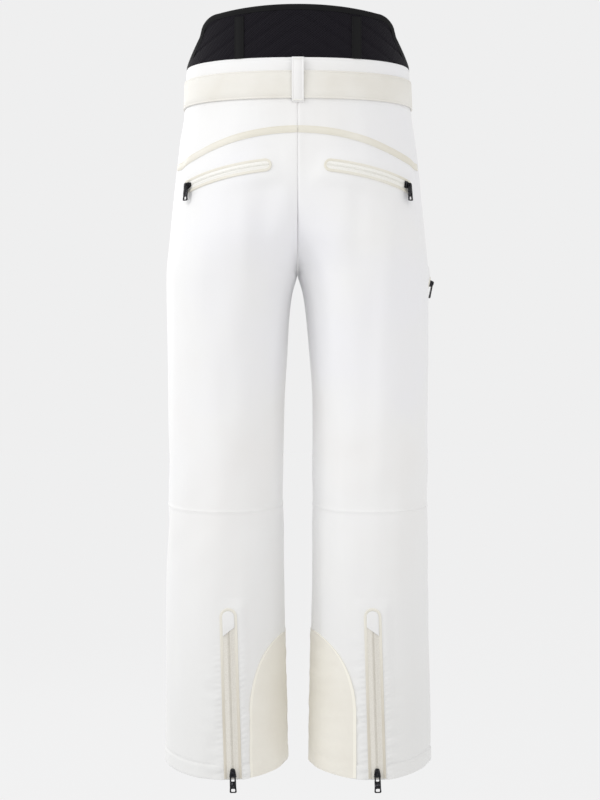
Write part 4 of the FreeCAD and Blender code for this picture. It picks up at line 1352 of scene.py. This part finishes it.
def placeCopy(model, name, matrix, material, body, slotName, node):
    mesh = models[model].data.copy()
    mesh.name = name
    mesh.transform(matrix)
    mesh.materials.clear()
    mesh.materials.append(material)
    piece = bpy.data.objects.new(name, mesh)
    bpy.context.collection.objects.link(piece)
    return finish(piece, body, slotName, node)


# zips

zipCut = {
    "weltHeight": 1.35,
    "straightHalf": 8.7,
    "curvedHalf": 6.4,
    "tapeTop": 1.2,
    "toothPitch": 1.7,
    "toothTop": 2.05,
    "bailLift": 4.9,
    "studLift": 4.7,
    "studHeight": 6.5,
}


def toothRow(name, pathPoint, length, material):
    # coil turns either side of the middle, half a pitch apart; pathPoint gives a frame at a distance
    clearSelection()
    bpy.ops.mesh.primitive_cube_add(size=1, location=(0, 0, 0))
    tooth = bpy.context.object
    tooth.data.transform(Matrix.Diagonal((1.5 * mm, 0.8 * mm, 0.7 * mm, 1)))
    roundEdges(tooth, "x", 0.22, 1)
    corners = [v.co.copy() for v in tooth.data.vertices]
    toothFaces = [tuple(face.vertices) for face in tooth.data.polygons]
    bpy.data.objects.remove(tooth)
    vertices = []
    faces = []
    count = int(length / zipCut["toothPitch"])
    for k in range(count * 2):
        side = 1 if k % 2 else -1
        matrix = pathPoint((k + 0.5) * zipCut["toothPitch"] / 2)
        first = len(vertices)
        for corner in corners:
            local = corner + Vector((side * 0.62, zipCut["toothTop"] - 0.75, 0)) * mm
            vertices.append(matrix @ local)
        faces += [tuple(first + i for i in face) for face in toothFaces]
    mesh = bpy.data.meshes.new(name)
    mesh.from_pydata(vertices, [], faces)
    mesh.materials.append(material)
    piece = bpy.data.objects.new(name, mesh)
    bpy.context.collection.objects.link(piece)
    selectOnly(piece)
    bpy.ops.object.shade_smooth_by_angle(angle=math.radians(40))
    return piece


def zipTape(name, pathPoint, length, half, material):
    rows = []
    uvs = []
    # each half of the tape has a woven ridge beside the teeth
    right = [
        (0.0, 0.9), (1.5, 1.2), (2.0, 1.55), (2.8, 1.55), (3.2, 1.25), (half - 1.4, 1.2), (half - 0.9, 1.0)
    ]
    right += [(half - 0.4, 1.2), (half, 0.9), (half, -1.6)]
    profile = [(-a, h) for a, h in reversed(right)] + right[1:]
    steps = max(12, int(length / 4))
    for k in range(steps + 1):
        distance = length * k / steps
        matrix = pathPoint(distance)
        rows.append([matrix @ (Vector((a, h, 0)) * mm) for a, h in profile])
        uvs.append([(a * mm, distance * mm) for a, h in profile])
    return gridMesh(name, rows, uvs, material)


def weltFrame(name, outline, material, width, closed, height):
    # a film border round a zip, never lower than the zip's own tape
    half = width / 2
    profile = [(-half, -4.0), (-half, height - 0.35), (-half + 0.35, height), (-half + 1.1, height)]
    profile += [
        (-half + 1.5, height - 0.22),
        (-half + 1.9, height),
        (half - 0.9, height),
        (half - 0.3, height - 0.2),
    ]
    profile += [(half, height - 0.5), (half, -4.0)]
    return sweepStrip(name, outline, profile, material, closed=closed, conform=True, least=0.0)


def stadiumPath(length, radius, openFoot, step=5.0, arcSteps=10):
    # points and ways outward of a rounded-end slot in its own plane: across, and along from 0 to its length
    points = []
    if openFoot:
        count = int((length - radius) / step)
        points += [((radius, (length - radius) * k / count), (1, 0)) for k in range(count)]
        for k in range(arcSteps * 2 + 1):
            angle = math.pi * k / (arcSteps * 2)
            way = (math.cos(angle), math.sin(angle))
            points.append(((radius * way[0], length - radius + radius * way[1]), way))
        points += [((-radius, (length - radius) * k / count), (-1, 0)) for k in reversed(range(count))]
        return points
    count = int((length - 2 * radius) / step)
    straight = [radius + (length - 2 * radius) * k / count for k in range(1, count)]
    points += [((radius, along), (1, 0)) for along in straight]
    for k in range(arcSteps * 2 + 1):
        angle = math.pi * k / (arcSteps * 2)
        way = (math.cos(angle), math.sin(angle))
        points.append(((radius * way[0], length - radius + radius * way[1]), way))
    points += [((-radius, along), (-1, 0)) for along in reversed(straight)]
    for k in range(arcSteps * 2 + 1):
        angle = math.pi + math.pi * k / (arcSteps * 2)
        way = (math.cos(angle), math.sin(angle))
        points.append(((radius * way[0], radius + radius * way[1]), way))
    return points


def straightZip(label, suffix, body, foot, xAxis, outward, length, weltOuter, window):
    upward = xAxis.cross(outward)

    def pathPoint(distance):
        return frameAt(foot + upward * distance * mm, xAxis, outward)

    middle = (weltOuter + window) / 4
    width = (weltOuter - window) / 2
    outline = []
    for (a, along), (wayA, wayAlong) in stadiumPath(length - width / 2, middle, True):
        point = foot + xAxis * a * mm + upward * along * mm
        outline.append((point, xAxis * wayA + upward * wayAlong, outward))
    film = materials["ankleTrim" if label == "ankle_zip" else "trim"]
    nylon = materials["ankleCoil" if label == "ankle_zip" else "coil"]
    welt = weltFrame(f"{label}_border{suffix}", outline, film, width, False, zipCut["weltHeight"])
    finish(welt, body, "bonded_trim", f"{label}_welt{suffix}")
    # the chain stops short of the border's round top
    chainLength = length - 9
    tape = zipTape(f"{label}_tape{suffix}", pathPoint, chainLength, zipCut["straightHalf"], nylon)
    finish(tape, body, "zip_coil", f"{label}_chain{suffix}")
    teeth = toothRow(f"{label}_coil{suffix}", pathPoint, chainLength, nylon)
    finish(teeth, body, "zip_coil")


for side, sign in sides.items():
    zipJoint = joints[f"ankle_zip_{side}"]
    pullJoint = joints[f"ankle_pull_{side}"]
    xAxis = Vector(pullJoint["axis"]).normalized()
    outward = Vector((0, 1, 0))
    upward = xAxis.cross(outward)
    pivot = Vector(pullJoint["pos_m"])
    sliderBase = pivot - outward * zipCut["bailLift"] * mm
    foot = pivot - outward * (zipCut["bailLift"] + 1.8) * mm - upward * 8 * mm
    leg = f"lower_leg_{side}"
    straightZip("ankle_zip", f"_{side}", leg, foot, xAxis, outward, 239, 24.6, 16.6)
    turned = frameAt(sliderBase, xAxis, outward)
    hung = frameAt(pivot, xAxis, outward)
    metal = materials["metal"]
    placeCopy(
        "bailSlider",
        f"ankle_slider_{side}",
        turned,
        metal,
        f"ankle_zip_slider_{side}",
        "gunmetal",
        f"ankle_zip_slider_{side}",
    )
    placeCopy(
        "longPull",
        f"ankle_pull_tab_{side}",
        hung,
        metal,
        f"ankle_zip_pull_{side}",
        "gunmetal",
        f"ankle_zip_pull_{side}",
    )
    # cloth garage with a slanted lower edge over the zip's top end
    top = foot + upward * 233 * mm
    rows = []
    uvs = []
    for k in range(13):
        a = -8.4 + 16.8 * k / 12
        low = -27 - sign * a * 0.75
        line = []
        uv = []
        heights = [
            (0.0, 1.9),
            (-1.0, 2.5),
            (-2.4, 2.6),
            (-8, 2.75),
            (-15, 2.75),
            (low + 3.0, 2.7),
            (low + 2.2, 2.45),
        ]
        heights += [(low + 1.4, 2.7), (low + 0.4, 2.7), (low, 2.4), (low, 1.9), (-12, 1.8), (-1, 1.2)]
        arch = 8.4 - math.sqrt(8.9**2 - a**2)
        for along, h in heights:
            # the top end follows the border's round top
            along += (1.6 - arch) * max(0.0, 1 + along / 8)
            edgeDrop = 0.5 * max(0.0, abs(a) - 7.0)
            line.append(top + xAxis * a * mm + upward * along * mm + outward * (h - edgeDrop) * mm)
            uv.append((a * mm, along * mm))
        rows.append(line)
        uvs.append(uv)
    garage = gridMesh(f"ankle_zip_garage_cloth_{side}", rows, uvs, materials["shell"])
    finish(garage, leg, "shell_fabric", f"ankle_zip_garage_{side}")
print("ankle zips ready")


def curvedZip(label, suffix, zipJointName, pullJointName, sliderNode, pullNode):
    zipJoint = joints[zipJointName]
    pullJoint = joints[pullJointName]
    centre = Vector(zipJoint["pos_m"])
    axis = Vector(zipJoint["axis"]).normalized()
    pivot = Vector(pullJoint["pos_m"])
    away = Vector(pullJoint["axis"]).normalized()
    radius = (pivot - centre).length - zipCut["studHeight"] * mm
    low, high = zipJoint["range_m" if "range_m" in zipJoint else "range_deg"]
    travel = math.radians(high if abs(high) > abs(low) else low)
    half = abs(travel) / 2 + 11.5 * mm / radius
    middleWay = Matrix.Rotation(travel / 2, 3, axis) @ away
    turn = 1 if travel > 0 else -1
    length = 2 * half * radius / mm

    def wayAt(distance):
        # distances run from the inner end; the slider rests near the outer one
        return Matrix.Rotation(turn * (half - distance * mm / radius), 3, axis) @ middleWay

    def pathPoint(distance):
        out = wayAt(distance)
        return frameAt(centre + out * radius, axis, out)

    outline = []
    width = 3.7
    for (a, along), (wayA, wayAlong) in stadiumPath(length, 7.5, False):
        out = wayAt(along)
        tangent = -turn * axis.cross(out)
        outline.append((centre + out * radius + axis * a * mm, axis * wayA + tangent * wayAlong, out))
    welt = weltFrame(f"{label}_border{suffix}", outline, materials["trim"], width, True, 1.6)
    finish(welt, "trousers", "bonded_trim", f"{label}_welt{suffix}")

    def innerPoint(distance):
        return pathPoint(distance + 1.4)

    tape = zipTape(
        f"{label}_tape{suffix}", innerPoint, length - 2.8, zipCut["curvedHalf"], materials["coil"]
    )
    finish(tape, "trousers", "zip_coil", f"{label}_chain{suffix}")
    teeth = toothRow(f"{label}_coil{suffix}", innerPoint, length - 2.8, materials["coil"])
    finish(teeth, "trousers", "zip_coil")
    metal = materials["metal"]
    placeCopy(
        "studSlider",
        f"{label}_slider_body{suffix}",
        frameAt(pivot - away * zipCut["studLift"] * mm, axisAcross(axis, away), away),
        metal,
        sliderNode,
        "gunmetal",
        sliderNode,
    )
    upright = (Vector((0, 0, 1)) - away * away.z).normalized()
    placeCopy(
        "studPull",
        f"{label}_pull_tab{suffix}",
        frameAt(pivot, away.cross(upright), away),
        metal,
        pullNode,
        "gunmetal",
        pullNode,
    )


def axisAcross(axis, away):
    return (axis - away * axis.dot(away)).normalized()


for side in sides:
    curvedZip(
        "back_pocket", f"_{side}", f"back_pocket_zip_{side}", f"back_pocket_pull_{side}_swivel",
        f"back_pocket_slider_{side}", f"back_pocket_pull_{side}",
    )
curvedZip(
    "thigh_pocket",
    "",
    "thigh_pocket_zip",
    "thigh_pocket_pull_swivel",
    "thigh_pocket_slider",
    "thigh_pocket_pull",
)

flyJoint = joints["fly_pull"]
flyAxis = Vector(flyJoint["axis"]).normalized()
flyOut = Vector((0, -1, 0))
flyPivot = Vector(flyJoint["pos_m"])
flyFoot = Vector((0, -118.2 * mm, -205 * mm))
straightZip("fly_zip", "", "trousers", flyFoot, flyAxis, flyOut, 140, 24.6, 16.6)
flyBase = flyPivot - flyOut * zipCut["bailLift"] * mm
placeCopy(
    "bailSlider",
    "fly_slider_body",
    frameAt(flyBase, flyAxis, flyOut),
    materials["metal"],
    "fly_zip_slider",
    "gunmetal",
    "fly_zip_slider",
)
placeCopy(
    "shortPull",
    "fly_pull_tab",
    frameAt(flyPivot, flyAxis, flyOut),
    materials["metal"],
    "fly_zip_pull",
    "gunmetal",
    "fly_zip_pull",
)
for model in models.values():
    bpy.data.objects.remove(model)
print("zips ready")

# scuff guards

guardCut = {
    "top": -806,
    "foot": -1036,
    "reach": 75,
    "turn": 7,
    "bulge": 0.62,
    "rise": 112,
    "height": 1.0,
    "crease": 0.8,
}


def guardEdge(sign, z):
    # an even curve from the inseam out to an almost upright edge
    reach = guardCut["reach"] - sign * guardCut["turn"]
    share = min(1.0, (guardCut["top"] - z) / guardCut["rise"])
    return reach * (0.2 + 0.78 * (1 - (1 - share) ** 2.1) ** guardCut["bulge"]) + 0.02 * reach * share


def guardMesh(side, sign):
    levels = [guardCut["top"] - 1.5 - k * 3.4 for k in range(60)]
    levels = [z for z in levels if z > -1009.5]
    columns = 56
    rows = []
    uvs = []
    for z in levels:
        edge = guardEdge(sign, z)
        first = uAtX(max(edge, sectionAt(z)[1] + 0.5), z)
        outer = []
        uv = []
        for k in range(columns + 1):
            t = k / columns
            u = first * (1 - 2 * t) if t < 0.5 else 1 - first * (2 * t - 1)
            u = max(0.0, min(1.0, u)) if t != 0.5 else 0.0
            level = max(z, hemLevel(u) + 0.4)
            base = cutPoint(sign, u, level)
            centre = Vector((sign * 0.1035, 0, base.z))
            out = (base - centre).normalized()
            away = min(t, 1 - t) * 2 * first * 560
            border = 0.5 * bell(away - 1.6, 1.3) - 0.25 * bell(away - 3.8, 0.8)
            crease = guardCut["crease"] * softNoise(t * 3 + 2, z / 11, 5.0 * sign) * min(1, away / 14)
            crease += 0.5 * softNoise(t * 7, z / 26, 15.0 * sign) * min(1, away / 14)
            bed = max(clothHeight(base, out), 0.0 if z > -995 else -3.0)
            outer.append(base + out * (bed + guardCut["height"] + border + max(-0.6, crease)) * mm)
            uv.append((t * 0.2, z * mm))
        inner = []
        for point in reversed(outer):
            centre = Vector((sign * 0.1035, 0, point.z))
            inner.append(point - (point - centre).normalized() * 2.6 * mm)
        rows.append(outer + inner)
        uvs.append(uv + uv[::-1])
    guard = gridMesh(f"scuff_guard_cloth_{side}", rows, uvs, materials["guard"])
    guard.data.materials.append(materials["guardEdge"])
    layer = guard.data.uv_layers["clothMap"]
    for face in guard.data.polygons:
        across = sum(layer.data[i].uv.x for i in face.loop_indices) / len(face.loop_indices)
        if across < 0.0052 or across > 0.1948:
            face.material_index = 1
    return guard


for side, sign in sides.items():
    guard = guardMesh(side, sign)
    finish(guard, f"lower_leg_{side}", "bonded_trim", f"scuff_guard_{side}")
print("scuff guards ready")

# inside pieces

cuffCut = {"top": -850, "foot": -978, "gap": 4.4, "taper": 16, "cloth": 1.5, "gather": 1.5, "elastic": -962}


def legRingPoint(sign, t, z, grow):
    # once round the leg, t from the inseam behind through the side seam and back
    base = cutPoint(sign, min(max(t, 0.0), 1.0), z)
    centre = Vector((sign * 0.1035, 0, base.z))
    return base + (base - centre).normalized() * grow * mm


for side, sign in sides.items():
    rows = []
    uvs = []
    columns = 144
    heights = [cuffCut["top"] + (cuffCut["foot"] - cuffCut["top"]) * j / 26 for j in range(27)]
    for k in range(columns):
        t = k / columns
        outer = []
        inner = []
        for z in heights:
            share = (z - cuffCut["top"]) / (cuffCut["foot"] - cuffCut["top"])
            grow = -cuffCut["gap"] - cuffCut["taper"] * share
            squeeze = bell(z - cuffCut["elastic"], 11)
            gather = cuffCut["gather"] * math.sin(2 * math.pi * 36 * t + 0.8 * math.sin(z / 9)) * squeeze
            wave = 0.8 * softNoise(t * 14, z / 34, 3.0 * sign) * share
            grow += min(gather + wave - 0.9 * squeeze, 0.6)
            outer.append(legRingPoint(sign, t, z, grow - 0.6))
            inner.append(legRingPoint(sign, t, z, grow - 0.6 - 1.0))
        rows.append(outer + inner[::-1])
        uv = [(t * 0.55, z * mm) for z in heights]
        uvs.append(uv + uv[::-1])
    cuff = gridMesh(f"snow_cuff_cloth_{side}", rows, uvs, materials["lining"], closeAlong=True)
    finish(cuff, f"lower_leg_{side}", "lining", f"snow_cuff_{side}")

bagCut = {"top": -165, "foot": -285, "inner": 0.15, "outer": 0.36, "sag": 0.9}
for side, sign in sides.items():
    rows = []
    uvs = []
    for k in range(33):
        t = k / 32
        outer = []
        inner = []
        uv = []
        # the lower corners are rounded
        foot = bagCut["foot"] + 26 * abs(2 * t - 1) ** 6
        for j in range(29):
            z = bagCut["top"] + (foot - bagCut["top"]) * j / 28
            u = bagCut["inner"] + (bagCut["outer"] - bagCut["inner"]) * t
            base = cutPoint(sign, u, z)
            out = (base - Vector((sign * sectionAt(z)[2] * mm, 0, base.z))).normalized()
            edge = min(1.0, 6 * t, 6 * (1 - t), (z - foot) / 12 + 0.05)
            ripple = 0.5 * softNoise(t * 5, z / 22, 7.0 * sign)
            outer.append(base - out * (6.2 - 0.35 * edge + 0.2 * ripple) * mm)
            inner.append(base - out * (6.4 + (0.4 + bagCut["sag"]) * edge + ripple * edge) * mm)
            uv.append((t * 0.09, z * mm))
        rows.append(outer + inner[::-1])
        uvs.append(uv + uv[::-1])
    bag = gridMesh(f"pocket_bag_cloth_{side}", rows, uvs, materials["lining"])
    finish(bag, "trousers", "lining", f"back_pocket_bag_{side}")

stations = []
for k in range(31):
    z = -61.5 - 147 * k / 30
    middle = Vector((0, -102.2 + 0.25 * math.sin(k / 2.3), z)) * mm
    stations.append((middle, Vector((1, 0, 0)), Vector((0, -1, 0))))
shield = sweepStrip(
    "fly_shield_cloth", stations, stripProfile(47.6, 1.1, 0.0, lines=(21.5,)), materials["lining"]
)
finish(shield, "trousers", "lining", "fly_shield")
print("inside pieces ready")

# buckle and snaps

buckle = {"y": -119.1, "z": -38.5, "width": 44, "height": 50, "thickness": 2.4, "pinX": -12.3}
frameBack = buckle["y"]
plate = addBlock(
    "buckle_frame", (-22, 22), (frameBack - 2.4, frameBack), (buckle["z"] - 25, buckle["z"] + 25)
)
roundEdges(plate, "y", 6, 6)
opening = addBlock(
    "buckleOpening", (-15, 15), (frameBack - 9, frameBack + 9), (buckle["z"] - 18.6, buckle["z"] + 18.6)
)
roundEdges(opening, "y", 1.6, 4)
cutOut(plate, opening)
softenAll(plate, 0.7)
plate.data.materials.append(materials["metal"])
finish(plate, "trousers", "gunmetal", "belt_buckle_frame")

leverY = buckle["y"] - 1.2
lever = addBlock(
    "buckle_lever", (
        buckle["pinX"] - 1.8, buckle["pinX"] + 24.2
    ), (leverY - 1.1, leverY + 1.1), (buckle["z"] - 18, buckle["z"] + 18)
)
roundEdges(lever, "y", 3.2, 5, lambda spot: spot.x > buckle["pinX"] + 20)
for k in range(5):
    # grip ribs near the free edge
    ribX = buckle["pinX"] + 14.5 + k * 1.7
    groove = addBlock(
        "gripGroove", (ribX, ribX + 0.7), (leverY - 2, leverY - 0.85), (buckle["z"] - 12, buckle["z"] + 12)
    )
    cutOut(lever, groove)
softenAll(lever, 0.3)
clearSelection()
bpy.ops.mesh.primitive_cylinder_add(vertices=40, radius=2.15 * mm, depth=35.9 * mm)
barrel = bpy.context.object
barrel.data.transform(Matrix.Translation(Vector((buckle["pinX"], leverY, buckle["z"])) * mm))
softenAll(barrel, 0.3)
lever = joinAll(lever, [barrel])
lever.data.materials.clear()
lever.data.materials.append(materials["metal"])
finish(lever, "belt_buckle_lever", "gunmetal", "belt_buckle_lever")

clearSelection()
bpy.ops.mesh.primitive_cylinder_add(vertices=32, radius=1.15 * mm, depth=37.1 * mm)
rod = bpy.context.object
rod.name = "buckle_rod"
rod.data.transform(Matrix.Translation(Vector((buckle["pinX"], leverY, buckle["z"])) * mm))
softenAll(rod, 0.2)
rod.data.materials.append(materials["metal"])
finish(rod, "trousers", "gunmetal", "belt_buckle_pin")

caps = []
for side, sign in sides.items():
    clearSelection()
    bpy.ops.mesh.primitive_cylinder_add(vertices=48, radius=6 * mm, depth=1.8 * mm)
    cap = bpy.context.object
    bpy.ops.object.mode_set(mode="EDIT")
    bpy.ops.mesh.select_mode(type="FACE")
    bpy.ops.mesh.select_all(action="DESELECT")
    capMesh = bmesh.from_edit_mesh(cap.data)
    for face in capMesh.faces:
        face.select = face.normal.z > 0.9
    bmesh.update_edit_mesh(cap.data)
    bpy.ops.mesh.inset(thickness=1.3 * mm, depth=0)
    bpy.ops.mesh.inset(thickness=0.5 * mm, depth=-0.45 * mm)
    bpy.ops.object.mode_set(mode="OBJECT")
    softenAll(cap, 0.35)
    spot = ringAt(sign * 15, -9.3, -1)
    facingOut = Matrix.Rotation(math.radians(90), 4, "X")
    cap.data.transform(Matrix.Translation(spot + Vector((0, -0.0011, 0))) @ facingOut)
    caps.append(cap)
caps = joinAll(caps[0], caps[1:])
caps.name = "waist_snap_caps"
caps.data.materials.append(materials["metal"])
finish(caps, "trousers", "gunmetal", "waist_snaps")
print("buckle and snaps ready")

# estimated flat size of each leg panel: width and length in metres, and the share of that the cut fills

cutSizes = {
    "back_yoke_cloth": (0.27, 0.085, 0.72),
    "seat_back_cloth": (0.30, 0.545, 0.88),
    "front_cloth": (0.27, 0.570, 0.94),
    "calf_back_cloth": (0.26, 0.385, 0.98),
    "calf_front_cloth": (0.26, 0.365, 0.98),
}
for name, (piece, nodes, side) in legPieces.items():
    width, length, share = cutSizes[name.rsplit("_", 1)[0]]

# how each smaller piece lies flat: width and length in metres, area share, how it is held, what carries it
smallCuts = {
    "waistband_cloth": (0.90, 0.062, 1.0, "stretched", ["front_cloth_left", "front_cloth_right"]),
    "belt_webbing_band": (0.92, 0.039, 1.0, "stretched", ["waistband_cloth"]),
    "back_belt_loop": (0.017, 0.064, 1.0, "laid", ["waistband_cloth"]),
    "front_belt_loop": (0.017, 0.064, 1.0, "laid", ["waistband_cloth"]),
    "yoke_seam_tape": (0.215, 0.011, 1.0, "laid", ["back_yoke_cloth_left", "back_yoke_cloth_right"]),
    "scuff_guard_cloth_left": (
        0.20, 0.203, 0.88, "laid", ["calf_back_cloth_left", "calf_front_cloth_left"]
    ),
    "scuff_guard_cloth_right": (
        0.228, 0.203, 0.88, "laid", ["calf_back_cloth_right", "calf_front_cloth_right"]
    ),
    "snow_cuff_cloth": (0.50, 0.128, 1.0, "gathered", ["calf_back_cloth_left", "calf_back_cloth_right"]),
    "pocket_bag_cloth": (0.094, 0.120, 0.98, "hung", ["seat_back_cloth_left", "seat_back_cloth_right"]),
    "fly_shield_cloth": (0.048, 0.147, 1.0, "hung", ["waistband_cloth"]),
    "ankle_zip_garage_cloth": (
        0.0168, 0.031, 0.97, "laid", ["ankle_zip_tape_left", "ankle_zip_tape_right"]
    ),
    "ankle_zip_tape": (0.0174, 0.231, 1.0, "laid", ["calf_back_cloth_left", "calf_back_cloth_right"]),
    "fly_zip_tape": (0.0174, 0.131, 1.0, "laid", ["front_cloth_left", "front_cloth_right"]),
    "back_pocket_tape": (0.0140, 0.136, 1.0, "laid", ["seat_back_cloth_left", "seat_back_cloth_right"]),
    "thigh_pocket_tape": (0.0140, 0.142, 1.0, "laid", ["front_cloth_right"]),
    "stay_casing": (0.016, 0.057, 1.0, "laid", ["lumbar_mesh_pad"]),
    "lumbar_edge_binding": (0.380, 0.016, 1.0, "folded", ["lumbar_mesh_pad"]),
}
for piece in list(bpy.data.objects):
    label = piece.name
    if label not in smallCuts:
        label = label.removesuffix("_left").removesuffix("_right").removesuffix("_l").removesuffix("_r")
    if piece.type != "MESH" or label not in smallCuts:
        continue
    width, length, share, held, carriers = smallCuts[label]
